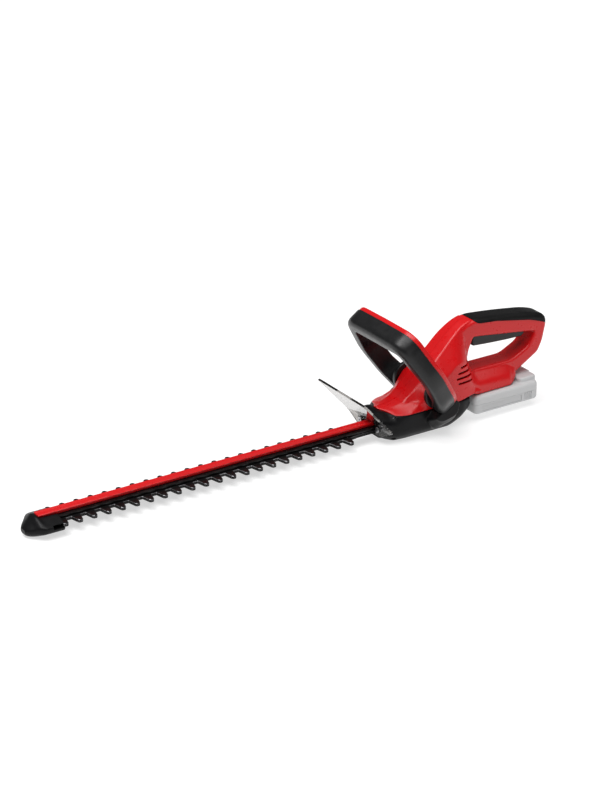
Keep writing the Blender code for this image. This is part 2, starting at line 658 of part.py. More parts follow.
def rear_grip():
    """Soft cap over the top and back of the rear handle."""
    handle = rounded(HANDLE_OUTLINE)
    cap = plate("rear_grip", [handle], "y", -GRIP_HALF - 0.4, GRIP_HALF + 0.4, "soft_grip")
    bevel(cap, 4.5, 3, 40)
    band = plate("grip_band", [offset_outline(grip_block_outline(), TOUCH)], "y", -40, 40)
    keep_inside(cap, band)
    core_outline = rounded(offset_outline(HANDLE_OUTLINE, 3.0))
    return cut(cap, plate("grip_core", [core_outline], "y", -CORE_HALF - TOUCH, CORE_HALF + TOUCH))


def rear_trigger():
    outline = rounded([(-96, 103.5, 4), (-96, 126, 4), (-112, 128, 4), (-150, 121), (-184, 119, 4),
                       (-191, 114, 4), (-186, 98.5, 4), (-130, 100.5)])
    pin_hole = circle(TRIGGER_HINGE, PIN_RADIUS + TOUCH, 12)
    lever = plate("rear_trigger", [outline, pin_hole], "y", -9.5, 9.5, "black_plastic")
    bevel(lever, 2.0, 2, 50)
    pivot("trigger_hinge", (TRIGGER_HINGE[0], 0, TRIGGER_HINGE[1]), lever)
    rod("trigger_pin", PIN_RADIUS, -12.8, 12.8, TRIGGER_HINGE, "y", sides=12)
    box("rear_switch", (-130, -8, 133.8), (-112, 8, 137))


# ------------------------------------------------------------------ front loop
def loop_centre():
    """The loop's centre line, as (across, along) in its own plane, from one foot to the other."""
    half = [(LOOP_FOOT_Y, LOOP_START), (75, 92, 26), (52, 146, 24), (0, 149)]
    other = [(-corner[0], *corner[1:]) for corner in reversed(half[:-1])]
    return rounded(half + other, 16)


def ribbon(inner, outer):
    """Closed outline of the loop between two distances from its centre line, outward being positive."""
    line = [Vector(point) for point in loop_centre()]
    sides = []
    for distance in (outer, inner):
        side = []
        for index, here in enumerate(line):
            before = line[max(index - 1, 0)]
            after = line[min(index + 1, len(line) - 1)]
            along_line = (after - before).normalized()
            if index == 0:
                along_line = Vector((0, 1))
            if index == len(line) - 1:
                along_line = Vector((0, -1))
            side.append(tuple(here + Vector((along_line.y, -along_line.x)) * distance))
        sides.append(side)
    return sides[0] + sides[1][::-1]


def loop_plate(name, inner, outer, low, high, finish):
    """Layer of the loop between two depths, counted back from its front face."""
    mesh = plate_mesh(name, [ribbon(inner, outer)], low, high)
    up = Vector((math.sin(LOOP_LEAN), 0, math.cos(LOOP_LEAN)))
    back = Vector((-math.cos(LOOP_LEAN), 0, math.sin(LOOP_LEAN)))
    across = Vector((0, -1, 0))
    foot = (LOOP_FOOT - back * LOOP_DEPTH / 2) * MM
    matrix = Matrix.Identity(4)
    for column, vector in enumerate((across, up, back, foot)):
        for row in range(3):
            matrix[row][column] = vector[row]
    mesh.transform(matrix)
    return add_object(name, mesh, finish)


def front_loop():
    half = LOOP_RADIAL / 2
    shell_depth = LOOP_DEPTH - BAR_CAP - BAR_TRAVEL
    shell = loop_plate("loop_shell", -half, half, 0, shell_depth, "black_plastic")
    cut(shell, loop_plate("loop_channel", -half + 2.8, half - 3.5, 6.0, 40, "black_plastic"),
        loop_plate("loop_lip", -half - 5, 0, 12.0, 40, "black_plastic"))
    bar = loop_plate("switch_bar", -half + 3.1, half - 3.8, 11.0, LOOP_DEPTH - 3, "red_plastic")
    rim = loop_plate("switch_bar_rim", -half + 0.3, half - 0.3, shell_depth + BAR_TRAVEL, LOOP_DEPTH,
                     "red_plastic")
    inner = loop_plate("switch_bar_inner", -half + 0.6, 0, 16.6, LOOP_DEPTH - 2, "red_plastic")
    join(bar, rim, inner)
    x, z = BAR_HINGE
    cut(bar, rod("bar_pin_hole", PIN_RADIUS + TOUCH, -80, 80, BAR_HINGE, "y", sides=12))
    pivot("bar_hinge", (x, 0, z), bar)
    for name, side in (("bar_pin_left", 1), ("bar_pin_right", -1)):
        low, high = sorted((side * (LOOP_FOOT_Y - half + 3.1), side * (LOOP_FOOT_Y + half - 3.8)))
        rod(name, PIN_RADIUS, low, high, BAR_HINGE, "y", sides=12)
    box("front_switch", (-34, 21, 50), (-20, 31, 60))


# ------------------------------------------------------------------ hand guard
def hand_guard():
    """Clear shield: a short upright foot, a bend, and a wide face that leans forward."""
    (foot_x, bend_z), (top_x, top_z) = GUARD_FOOT, GUARD_TOP
    rise = Vector((top_x - foot_x, top_z - bend_z))
    behind = Vector((-rise.y, rise.x)).normalized() * GUARD_THICK
    bend_back = bend_z + 1.2
    profile = [(foot_x, 13), (foot_x, bend_z), (top_x, top_z), (top_x + behind.x, top_z + behind.y),
               (foot_x - GUARD_THICK, bend_back), (foot_x - GUARD_THICK, 13)]
    guard = plate("hand_guard", [profile], "y", -60, 60, "clear_plastic")
    half = [(58, 84, 5), (50, 27, 8), (31, 13, 5), (14.5, 13), (14.5, 29)]
    face = rounded(half + [(-corner[0], *corner[1:]) for corner in reversed(half)])
    keep_inside(guard, plate("guard_face", [face], "x", 40, 160))
    for name, side in (("left", 1), ("right", -1)):
        centre = (side * GUARD_SCREW[0], GUARD_SCREW[1])
        cut(guard, rod(f"guard_face_hole_{name}", 2.1, 60, 80, centre, "x", sides=12))
        screw = rod(f"guard_screw_{name}", 4.0, foot_x + TOUCH, foot_x + 2.3, centre, "x", sides=16)
        join(screw, rod(f"guard_shank_{name}", 1.6, 52, foot_x + 1, centre, "x", sides=12))
    return guard


# ------------------------------------------------------------------ battery
def t_rail(grow):
    """Cross-section (y, z) of one T rail, grown by a clearance."""
    return [(13 - grow, 39.2), (17 + grow, 39.2), (17 + grow, 35.3 + grow), (21 + grow, 35.3 + grow),
            (21 + grow, 32 - grow), (13 - grow, 32 - grow)]


def battery_shoe():
    """Slide under the arm that the pack hangs on, with the contact block between its rails."""
    plate_outline = [(-23.5, 46.5), (23.5, 46.5), (23.5, 39), (-23.5, 39)]
    shoe = plate("battery_shoe", [plate_outline], "x", *SHOE_X)
    for name, side in (("left", 1), ("right", -1)):
        section = [(side * y, z) for y, z in t_rail(0)]
        join(shoe, plate(f"shoe_rail_{name}", [section], "x", *SHOE_X))
    box("terminal_block", (-109, -11, 33.2), (-92, 11, 38.7))
    box("circuit_board", (-160, -9.5, 62), (-100, 9.5, 63.6), "circuit_green")


def battery_case():
    low, high = PACK_X
    top = PACK_SPLIT - TOUCH / 2
    case = box("battery_case", (low, -PACK_HALF, PACK_Z[0]), (high, PACK_HALF, top + 10), "grey_plastic")
    bevel(case, 4.5, 2, 60)
    room = box("battery_case_room", (low + 3, -PACK_HALF + 3, PACK_Z[0] + 2), (high - 3, PACK_HALF - 3, 60))
    keep_inside(case, box("battery_case_trim", (low - 5, -60, 0), (high + 5, 60, top)))
    return cut(case, room)


def battery_lid():
    (low, high), top = PACK_X, PACK_Z[1]
    base = PACK_SPLIT + TOUCH / 2
    profile = [(high, base), (high, top - 6), (high - 3, top), (-165, top), (-180, PACK_HUMP_Z),
               (low + 2, PACK_HUMP_Z), (low, PACK_HUMP_Z - 2), (low, base)]
    lid = plate("battery_lid", [profile], "y", -PACK_HALF, PACK_HALF, "grey_plastic")
    section = [(-PACK_HALF, base), (PACK_HALF, base), (PACK_HALF, 33), (31, PACK_HUMP_Z + 1),
               (-31, PACK_HUMP_Z + 1), (-PACK_HALF, 33)]
    keep_inside(lid, plate("battery_lid_section", [section], "x", low - 5, high + 5))
    cut(lid, box("battery_lid_room", (low + 3, -PACK_HALF + 3, 20), (high - 3, PACK_HALF - 3, 30.8)),
        box("terminal_room", (-109.5, -11.5, 32.7), (high + 5, 11.5, 60)),
        box("latch_room", (low - 5, -10.4, 32.6), (low + 10, 10.4, 43.4)))
    for name, side in (("left", 1), ("right", -1)):
        section = [(side * y, z) for y, z in t_rail(0.4)]
        cut(lid, plate(f"lid_groove_{name}", [section], "x", SHOE_X[0] - 0.6, high + 5))
    return lid


def battery():
    """Pack of five cells that slides rearwards off its shoe."""
    battery_shoe()
    moving = [battery_case(), battery_lid()]
    for index in range(5):
        x = PACK_X[0] + 13.5 + index * 20.3
        moving.append(rod(f"battery_cell_{index + 1}", 9.1, -32.5, 32.5, (x, 21.4), "y", "cell_wrap", 20))
    pivot("battery_slide", (PACK_X[0], 0, PACK_Z[1]), *moving)
    latch = box("battery_latch", (PACK_X[0] - 2.5, -10, 33), (PACK_X[0] + 6.5, 10, 43), "grey_plastic")
    pivot("latch_slide", (PACK_X[0], 0, 38), latch)


# ------------------------------------------------------------------ housing screws
def housing_screws(left, right):
    """Screws that go in from the right and end blind in the left shell."""
    for index, (x, z) in enumerate(HOUSING_SCREWS):
        cut(right, rod(f"screw_room_{index}", 3.6, -60, -13.2, (x, z), "y", sides=12),
            rod(f"screw_way_{index}", 1.9, -20, -5, (x, z), "y", sides=12))
        cut(left, rod(f"screw_blind_{index}", 1.9, 5, 14.4, (x, z), "y", sides=12))
        screw = rod(f"housing_screw_{index + 1}", 3.2, -16.2, -13.5, (x, z), "y", sides=12)
        join(screw, rod(f"screw_shank_{index}", 1.6, -14.5, 14, (x, z), "y", sides=12))


def build():
    cutting_gear()
    drive_train()
    motor_and_bearings()
    gear_case()
    housing_screws(housing_half("housing_left", 1), housing_half("housing_right", -1))
    rear_grip()
    rear_trigger()
    front_loop()
    hand_guard()
    battery()


build()
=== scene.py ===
"""Looks of the hedge trimmer: smooth mesh pieces and node-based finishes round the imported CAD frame.

Axes are the frame's: +X to the blade tip, +Y to the tool's left, +Z up, floor at Z 0.
Lengths are millimetres until a mesh is made, and angles are degrees.
"""
import json
import math

import bmesh
import bpy
import numpy as np
from mathutils import Matrix, Vector


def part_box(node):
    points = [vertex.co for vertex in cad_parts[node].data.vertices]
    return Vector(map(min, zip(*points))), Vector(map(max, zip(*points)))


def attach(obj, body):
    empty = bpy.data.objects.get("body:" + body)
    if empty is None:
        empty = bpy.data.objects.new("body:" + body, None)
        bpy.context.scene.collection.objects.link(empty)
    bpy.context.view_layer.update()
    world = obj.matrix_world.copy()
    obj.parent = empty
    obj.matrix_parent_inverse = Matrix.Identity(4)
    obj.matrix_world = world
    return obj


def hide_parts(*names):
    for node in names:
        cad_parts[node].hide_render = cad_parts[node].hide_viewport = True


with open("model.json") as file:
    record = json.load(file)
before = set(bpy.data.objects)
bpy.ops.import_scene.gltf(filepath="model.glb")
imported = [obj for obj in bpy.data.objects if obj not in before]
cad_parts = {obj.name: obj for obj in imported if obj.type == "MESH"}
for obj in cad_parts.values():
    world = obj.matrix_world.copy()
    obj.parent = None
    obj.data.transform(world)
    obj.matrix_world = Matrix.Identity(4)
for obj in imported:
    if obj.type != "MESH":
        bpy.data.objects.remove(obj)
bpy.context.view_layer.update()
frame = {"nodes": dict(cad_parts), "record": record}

MM = 0.001
TINY = 1e-9
SAME_PLACE = 1e-4  # corners of a mesh nearer than this become one
LONGEST_REACH = 0.48  # share of a side that the curve at one of its ends may take
SHARPEST_MITRE = 0.5
CROWN_REACH = 8.0
CREASE = 50  # bevels take the edges that turn by more than this
THROUGH = 60.0  # half width of a cutter that goes right through the tool
PIECE_GAP = 0.3  # between pieces that meet


def span(node):
    """Lowest and highest corner of a CAD node, in millimetres."""
    low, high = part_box(node)
    return tuple(low / MM), tuple(high / MM)


def centre_of(node, axis):
    """Centre of a CAD node, seen along the axis."""
    low, high = span(node)
    return [(low[index] + high[index]) / 2 for index in range(3) if index != "xyz".index(axis)]


# ------------------------------------------------------------------ outlines and curves
def soften(corners, steps=5):
    """Closed outline; a corner (u, v, reach) becomes a curve that starts that far before it."""
    outline = []
    for index, corner in enumerate(corners):
        here = np.array(corner[:2], float)
        if len(corner) < 3:
            outline.append(tuple(here))
            continue
        ends = []
        for other in (corners[index - 1], corners[(index + 1) % len(corners)]):
            side = np.array(other[:2], float) - here
            length = np.linalg.norm(side)
            ends.append(here + side * min(corner[2] / length, LONGEST_REACH))
        for t in np.linspace(0, 1, steps + 1):
            outline.append(tuple((1 - t) ** 2 * ends[0] + 2 * t * (1 - t) * here + t**2 * ends[1]))
    return outline


def offset(outline, distance):
    """Closed outline moved inwards by distance."""
    points = np.array([point[:2] for point in outline], float)
    before, after = np.roll(points, 1, axis=0), np.roll(points, -1, axis=0)
    area = np.sum(points[:, 0] * after[:, 1] - after[:, 0] * points[:, 1])
    turn = 1 if area > 0 else -1
    normals = []
    for start, end in ((before, points), (points, after)):
        way = end - start
        way /= np.maximum(np.linalg.norm(way, axis=1), TINY)[:, None]
        normals.append(np.stack((-way[:, 1], way[:, 0]), axis=1) * turn)
    middle = normals[0] + normals[1]
    middle /= np.maximum(np.linalg.norm(middle, axis=1), TINY)[:, None]
    reach = distance / np.maximum(np.sum(middle * normals[0], axis=1), SHARPEST_MITRE)
    return [tuple(point) for point in points + middle * reach[:, None]]


def through(keys, values, at):
    """Smooth curve through values at rising keys, which never overshoots them."""
    keys, values = np.array(keys, float), np.array(values, float)
    gap = np.diff(keys)
    rise = np.diff(values, axis=0) / gap[:, None]
    slope = np.zeros_like(values)
    together = rise[:-1] * rise[1:]
    total = np.where(together > 0, rise[:-1] + rise[1:], 1)
    slope[1:-1] = np.where(together > 0, 2 * together / total, 0)
    slope[0], slope[-1] = rise[0], rise[-1]
    index = np.clip(np.searchsorted(keys, at, side="right") - 1, 0, len(keys) - 2)
    t = ((at - keys[index]) / gap[index])[:, None]
    step = gap[index][:, None]
    return (
        (1 + 2 * t) * (1 - t) ** 2 * values[index]
        + t * (1 - t) ** 2 * step * slope[index]
        + t**2 * (3 - 2 * t) * values[index + 1]
        + t**2 * (t - 1) * step * slope[index + 1]
    )


def rectangle(low, high, reach=0.0):
    """Corners of a rectangle, each with the reach of its curve if it has one."""
    corners = [(low[0], low[1]), (high[0], low[1]), (high[0], high[1]), (low[0], high[1])]
    return [(*corner, reach) for corner in corners] if reach else corners


def circle(centre, radius, sides=48):
    turns = np.linspace(0, 2 * math.pi, sides, endpoint=False)
    return [(centre[0] + radius * math.cos(turn), centre[1] + radius * math.sin(turn)) for turn in turns]


def mirrored(half, middle=()):
    """Symmetric row of corners: one half, what lies in the middle, and the half's mirror image."""
    return [*half, *middle, *((-across, *rest) for across, *rest in reversed(half))]


# ------------------------------------------------------------------ mesh making
def finish_mesh(name, bm):
    """Object from a bmesh drawn in millimetres."""
    bmesh.ops.remove_doubles(bm, verts=bm.verts, dist=SAME_PLACE)
    bmesh.ops.scale(bm, vec=(MM, MM, MM), verts=bm.verts)
    bmesh.ops.recalc_face_normals(bm, faces=bm.faces)
    mesh = bpy.data.meshes.new(name)
    bm.to_mesh(mesh)
    bm.free()
    obj = bpy.data.objects.new(name, mesh)
    bpy.context.scene.collection.objects.link(obj)
    return obj


def skin(bm, rows, closed_ends=True):
    """Quads between rows of vertices, each row closed on itself."""
    for row, following in zip(rows, rows[1:]):
        for index in range(len(row)):
            ahead = (index + 1) % len(row)
            bm.faces.new((row[index], row[ahead], following[ahead], following[index]))
    if closed_ends:
        bm.faces.new(rows[0])
        bm.faces.new(rows[-1])


def placed(axis, u, v, w):
    """Point at w along the axis; (u, v) is (x, y) across Z, (x, z) across Y and (y, z) across X."""
    return {"x": (w, u, v), "y": (u, w, v), "z": (u, v, w)}[axis]


def slab(name, outline, axis, low, high, edge=0.0, hole=None, hole_edge=0.0, steps=4):
    """Plate across an axis, with rounded edges and an optional hole."""
    bm = bmesh.new()
    walls = []
    for points, way, radius in ((outline, 1, edge), (hole, -1, hole_edge)):
        if not points:
            continue
        turns = np.radians(np.linspace(90, 0, steps + 1)) if radius else [0.0]
        layers = [(low + radius * (1 - math.sin(turn)), radius * (1 - math.cos(turn))) for turn in turns]
        layers += [(high - (w - low), inset) for w, inset in reversed(layers)]
        rows = []
        for w, inset in layers:
            moved = offset(points, way * inset)
            rows.append([bm.verts.new(placed(axis, u, v, w)) for u, v in moved])
        skin(bm, rows, closed_ends=False)
        walls.append(rows)
    for end in (0, -1):
        edges = []
        for rows in walls:
            ring = rows[end]
            edges += [bm.edges.get(pair) for pair in zip(ring, ring[1:] + ring[:1])]
        bmesh.ops.triangle_fill(bm, edges=edges, use_beauty=True)
    return finish_mesh(name, bm)


def box(name, low, high):
    return slab(name, rectangle(low, high), "z", low[2], high[2])


def rod(name, centre, radius, axis, low, high, edge=0.0, sides=48):
    return slab(name, circle(centre, radius, sides), axis, low, high, edge)


def loft(name, stations, reaches, spacing=1.5, crown=0.0):
    """Smooth body along X through stations (x, left half of the section as (y, z) points, bottom up).

    The crown is how far the middle of its top rises above the last point.
    """
    stations = sorted(stations)
    keys = [x for x, _ in stations]
    values = [[number for point in half for number in point] for _, half in stations]
    at = np.linspace(keys[0], keys[-1], max(2, round((keys[-1] - keys[0]) / spacing)))
    bm = bmesh.new()
    rows = []
    for x, numbers in zip(at, through(keys, values, at)):
        half = [(y, z, reach) for (y, z), reach in zip(numbers.reshape(-1, 2), reaches)]
        top = [(0.0, half[-1][1] + crown, CROWN_REACH)] if crown else []
        rows.append([bm.verts.new((x, y, z)) for y, z in soften(mirrored(half, top))])
    skin(bm, rows)
    return finish_mesh(name, bm)


def discard(obj):
    bpy.data.objects.remove(obj, do_unlink=True)


def bake(obj):
    """Apply the object's modifiers."""
    bpy.context.view_layer.update()
    graph = bpy.context.evaluated_depsgraph_get()
    mesh = bpy.data.meshes.new_from_object(obj.evaluated_get(graph))
    obj.modifiers.clear()
    obj.data = mesh


def combine(obj, operation, others):
    for other in others:
        modifier = obj.modifiers.new(operation.lower(), "BOOLEAN")
        modifier.operation = operation
        modifier.solver = "MANIFOLD"
        modifier.object = other
    bake(obj)
    for other in others:
        discard(other)
    return obj


def carve(obj, *cutters):
    return combine(obj, "DIFFERENCE", cutters)


def clip(obj, limit):
    return combine(obj, "INTERSECT", [limit])


def gather(obj, *others):
    """Put the other meshes into obj, overlapping as they are."""
    bm = bmesh.new()
    for part in (obj, *others):
        bm.from_mesh(part.data)
    bm.to_mesh(obj.data)
    bm.free()
    for other in others:
        discard(other)


def melt(obj, voxel, ease):
    """Fuse overlapping shapes into one skin and round their meeting lines."""
    remesh = obj.modifiers.new("fuse", "REMESH")
    remesh.mode = "VOXEL"
    remesh.voxel_size = voxel * MM
    smooth = obj.modifiers.new("ease", "SMOOTH")
    smooth.factor = 0.5
    smooth.iterations = ease
    bake(obj)


def copy_of(obj, name):
    twin = bpy.data.objects.new(name, obj.data.copy())
    bpy.context.scene.collection.objects.link(twin)
    return twin


def bevel(obj, width, segments, material=-1):
    modifier = obj.modifiers.new("edges", "BEVEL")
    modifier.width = width * MM
    modifier.segments = segments
    modifier.limit_method = "ANGLE"
    modifier.angle_limit = math.radians(CREASE)
    modifier.material = material
    bake(obj)


def shade(obj, angle):
    """Smooth shading with sharp lines where faces meet at more than the angle."""
    bm = bmesh.new()
    bm.from_mesh(obj.data)
    for face in bm.faces:
        face.smooth = True
    for line in bm.edges:
        line.smooth = line.calc_face_angle(0) < math.radians(angle)
    bm.to_mesh(obj.data)
    bm.free()


def settle(obj, body, finish, slot, *nodes, angle=32):
    """Give the piece its finish, and let it ride on its body and stand for its CAD nodes."""
    shade(obj, angle)
    if not any(obj.data.materials):  # the blades bring two finishes of their own
        obj.data.materials.clear()
        obj.data.materials.append(finish)
    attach(obj, body)
    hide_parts(*nodes)


# ------------------------------------------------------------------ finishes
def put(tree, kind, inputs=(), **settings):
    """New node whose inputs are set to values or linked to sockets."""
    made = tree.nodes.new(kind)
    for key, value in settings.items():
        setattr(made, key, value)
    for key, value in dict(inputs).items():
        if isinstance(value, bpy.types.NodeSocket):
            tree.links.new(value, made.inputs[key])
        else:
            made.inputs[key].default_value = value
    return made


def noise(tree, where, scale, detail=3.0):
    inputs = {"Vector": where, "Scale": scale, "Detail": detail}
    return put(tree, "ShaderNodeTexNoise", inputs).outputs["Fac"]


def between(tree, factor, low, high, start=0.35, stop=0.65):
    """Number that goes from low to high as the factor goes from start to stop."""
    made = put(tree, "ShaderNodeMapRange", {"Value": factor, "From Min": start, "From Max": stop,
                                            "To Min": low, "To Max": high})
    return made.outputs["Result"]


def blended(tree, factor, first, second):
    """Colour that goes from first to second as the factor goes from 0 to 1."""
    mix = {0: factor, 6: (*first, 1.0), 7: (*second, 1.0)}  # the mix node's factor and its two colours
    return put(tree, "ShaderNodeMix", mix, data_type="RGBA").outputs[2]


def clouded(tree, cloud, first, second):
    """Blend of two colours by the steps of a noise."""
    return blended(tree, between(tree, cloud, 0, 1), first, second)


def bumps(tree, *layers):
    """Normal from (height, strength, distance in millimetres) layers."""
    normal = None
    for height, strength, distance in layers:
        inputs = {"Height": height, "Strength": strength, "Distance": distance * MM}
        if normal:
            inputs["Normal"] = normal
        normal = put(tree, "ShaderNodeBump", inputs).outputs["Normal"]
    return normal


def blank(name):
    """New material, with its tree, its shader and the object coordinates."""
    material = bpy.data.materials.new(name)
    material.use_nodes = True
    tree = material.node_tree
    shader = tree.nodes["Principled BSDF"]
    where = put(tree, "ShaderNodeTexCoord").outputs["Object"]
    return material, tree, shader, where


def wire(tree, shader, **sockets):
    for key, socket in sockets.items():
        tree.links.new(socket, shader.inputs[key.replace("_", " ")])


def fix(shader, **values):
    """Set what is the same all over on the shader's own sockets."""
    for key, value in values.items():
        shader.inputs[key.replace("_", " ")].default_value = value


def moulded(name, colour, roughness, texture=0.25, coat=0.0, fleck=0.9, shine=0.5):
    """Injection-moulded plastic: spark-eroded texture, slight sink marks and handling marks."""
    material, tree, shader, where = blank(name)
    cloud = noise(tree, where, 9.0, 2.0)
    worn = noise(tree, where, 120.0, 2.0)
    darker = tuple(channel * fleck for channel in colour)
    wire(tree, shader,
         Base_Color=clouded(tree, cloud, colour, darker),
         Roughness=between(tree, worn, roughness - 0.03, roughness + 0.05),
         Normal=bumps(tree, (noise(tree, where, 800.0, 1.0), texture, 0.05), (cloud, 0.05, 0.6)))
    fix(shader, Specular_IOR_Level=shine, Coat_Weight=coat, Coat_Roughness=0.18)
    return material


def soft_touch():
    """Overmoulded rubber with a fine stipple."""
    material, tree, shader, where = blank("soft_touch")
    stipple = put(tree, "ShaderNodeTexVoronoi", {"Vector": where, "Scale": 900.0}).outputs["Distance"]
    cloud = noise(tree, where, 60.0, 4.0)
    wire(tree, shader,
         Base_Color=clouded(tree, cloud, (0.003, 0.003, 0.0033), (0.006, 0.006, 0.0063)),
         Roughness=between(tree, cloud, 0.46, 0.58),
         Normal=bumps(tree, (stipple, 0.3, 0.08), (cloud, 0.1, 0.4)))
    fix(shader, Specular_IOR_Level=0.16)
    return material


def metal(name, colour, roughness, streaks=(1.0, 1.0, 1.0)):
    """Machined metal with streaks stretched along the small axis of the streak scale."""
    material, tree, shader, where = blank(name)
    stretched = put(tree, "ShaderNodeMapping", {"Vector": where, "Scale": streaks}).outputs["Vector"]
    brushed = noise(tree, stretched, 900.0, 3.0)
    cloud = noise(tree, where, 45.0, 5.0)
    darker = tuple(channel * 0.6 for channel in colour)
    wire(tree, shader,
         Base_Color=clouded(tree, cloud, colour, darker),
         Roughness=between(tree, brushed, roughness - 0.08, roughness + 0.1),
         Normal=bumps(tree, (brushed, 0.2, 0.04)))
    fix(shader, Metallic=1.0)
    return material


def blackened_steel():
    """Oxide-blacked blade steel, rubbed brighter in long scratches."""
    material, tree, shader, where = blank("blackened_steel")
    along = put(tree, "ShaderNodeMapping", {"Vector": where, "Scale": (0.06, 1.0, 1.0)}).outputs["Vector"]
    scratches = noise(tree, along, 1200.0, 4.0)
    cloud = noise(tree, where, 60.0, 5.0)
    rubbed = between(tree, scratches, 0, 0.5, 0.55, 0.75)
    wire(tree, shader,
         Base_Color=blended(tree, rubbed, (0.012, 0.011, 0.011), (0.10, 0.10, 0.105)),
         Roughness=between(tree, cloud, 0.26, 0.42),
         Normal=bumps(tree, (scratches, 0.15, 0.04)))
    fix(shader, Metallic=0.75)
    return material


def clear_sheet():
    """Smoke-tinted clear polycarbonate, its gloss worn in hairlines."""
    material, tree, shader, where = blank("clear_sheet")
    along = put(tree, "ShaderNodeMapping", {"Vector": where, "Scale": (1.0, 0.15, 1.0)}).outputs["Vector"]
    hairlines = noise(tree, along, 500.0, 4.0)
    cloud = noise(tree, where, 35.0, 3.0)
    wire(tree, shader,
         Base_Color=clouded(tree, cloud, (0.36, 0.345, 0.33), (0.33, 0.315, 0.305)),
         Roughness=between(tree, hairlines, 0.0, 0.02))
    fix(shader, Transmission_Weight=0.985, IOR=1.45, Specular_IOR_Level=0.3)
    return material


def circuit_finish():
    """Green board with paler tracks."""
    material, tree, shader, where = blank("circuit_finish")
    tracks = put(tree, "ShaderNodeTexBrick", {"Vector": where, "Scale": 160.0}).outputs["Fac"]
    wire(tree, shader,
         Base_Color=blended(tree, tracks, (0.02, 0.12, 0.05), (0.10, 0.30, 0.12)),
         Roughness=between(tree, noise(tree, where, 300.0), 0.3, 0.5))
    return material


RED = moulded("red_moulding", (0.57, 0.003, 0.005), 0.3, texture=0.012, coat=0.08, fleck=0.95, shine=0.36)
PAINT = moulded("red_paint", (0.56, 0.004, 0.006), 0.3, texture=0.01, coat=0.1, fleck=0.95, shine=0.36)
BLACK = moulded("black_moulding", (0.006, 0.006, 0.0065), 0.33, fleck=1.4, shine=0.34)
CASING = moulded("black_casing", (0.0035, 0.0035, 0.004), 0.38, fleck=1.4, shine=0.14)
GREY = moulded("grey_moulding", (0.54, 0.545, 0.55), 0.45, fleck=0.96, shine=0.3)
CELL = moulded("cell_wrap_film", (0.04, 0.20, 0.42), 0.3, texture=0.05, coat=0.3)
RUBBER = soft_touch()
BLADE_STEEL = blackened_steel()
GROUND_STEEL = metal("ground_steel", (0.24, 0.24, 0.25), 0.34, (1.0, 0.08, 1.0))
ZINC = metal("zinc", (0.55, 0.55, 0.57), 0.3)
BRASS = metal("machined_brass", (0.75, 0.52, 0.20), 0.28)
CLEAR = clear_sheet()
CIRCUIT = circuit_finish()

SLOT_FINISH = {
    "red_plastic": RED, "red_rail": PAINT, "black_plastic": BLACK, "soft_grip": RUBBER,
    "dark_steel": BLADE_STEEL, "bright_steel": ZINC, "clear_plastic": CLEAR, "grey_plastic": GREY,
    "brass": BRASS, "circuit_green": CIRCUIT, "cell_wrap": CELL,
}


def dress_cad_nodes():
    """Every CAD node takes the finish of its slot; the ones that get a piece are hidden later."""
    for row in frame["record"]["subparts"]:
        for slot in frame["nodes"][row["node"]].material_slots:
            slot.material = SLOT_FINISH[row["material_slot"]]


# ------------------------------------------------------------------ housing
SEAM = 0.12  # half of the gap shown between the two housing shells
WALL = 2.5
HANDLE_OUTLINE = (
    (-60, 44, 6), (-60, 130, 14), (-88, 147.5, 16), (-141, 142.5, 24), (-198, 134.3, 14), (-225, 125, 14),
    (-217, 88, 5), (-209, 72, 5), (-180, 55, 4), (-168, 47.5, 4), (-158, 43, 4), (-90, 43, 6),
)
HAND_OPENING = (
    (-93, 121, 4), (-88, 109, 4), (-80, 90, 5), (-87, 71, 6), (-162, 71, 8), (-191, 85, 8), (-203, 106, 5),
)
BODY_STATIONS = (
    # x, then (y, z) of the left half from the bottom up: seam, side ridge, foot and edge of the spine
    (62, ((5, 45.3), (4.6, 45.8), (4, 46.4), (2, 47))),
    (54, ((16, 42.5), (15, 44), (13, 45.4), (6, 46.8))),
    (47, ((31, 40.3), (29, 41.4), (20, 44.6), (10, 47.3))),
    (30, ((38, 40.3), (33, 43), (21, 47.4), (15.5, 50.2))),
    (20, ((38, 40.3), (34, 46), (21.5, 50.4), (17.3, 57.5))),
    (10, ((38, 40.3), (32.5, 51), (27.5, 54.5), (17.5, 65))),
    (2, ((38, 40.3), (35.5, 57), (31.5, 64), (17.5, 73))),
    (-10, ((38, 40.3), (37, 62), (35, 74), (17.5, 86))),
    (-35, ((38, 40.3), (37.5, 64), (36, 83), (17.5, 109.5))),
    (-55, ((38, 40.3), (37, 66), (34.5, 95), (16.5, 128.5))),
    (-72, ((37, 43), (35, 70), (28, 94), (14.8, 140.5))),
    (-80, ((36, 44), (30.5, 71), (19, 92), (14.5, 144))),
    (-88, ((35, 45), (21, 70), (15, 88), (14.2, 146))),
    (-97, ((33, 43), (17, 62), (15, 68), (13.5, 72))),
)
ARM_STATIONS = (
    (-80, ((34, 44), (32.5, 62), (13.7, 73.5))),
    (-96, ((31, 38.4), (30.5, 54), (13.6, 72))),
    (-150, ((30, 38.4), (27.5, 52), (13.6, 71))),
    (-158, ((27, 41), (24, 51), (13.6, 69))),
    (-167, ((20, 46), (19, 54), (13.4, 66))),
)
BODY_REACHES, BODY_CROWN = (1.5, 3, 2.5, 2.5), 1.4
ARM_REACHES, ARM_CROWN = (3, 6, 5), 1.0
HOLLOW_REACHES = (1, 5, 7, 4)
GRIP_BAND = (
    (-90, 175), (-90, 149), (-95, 143, 5), (-102, 139.8, 5), (-132, 137), (-191, 125.5), (-210, 119.5, 10),
    (-226, 112), (-260, 112), (-260, 175),
)
GRIP_DEPTH = 3.3
BAND_HALF = 40.0
HANDLE_HALF, HANDLE_EDGE, OPENING_EDGE = 17.2, 5.5, 4.0
CORE_HALF = 13.4  # of the handle under the soft grip
RING_HALF = 11.2  # of the hollow inside the handle
TRIGGER_SLOT = ((-193, -10.5, 100), (-90, 10.5, 124))
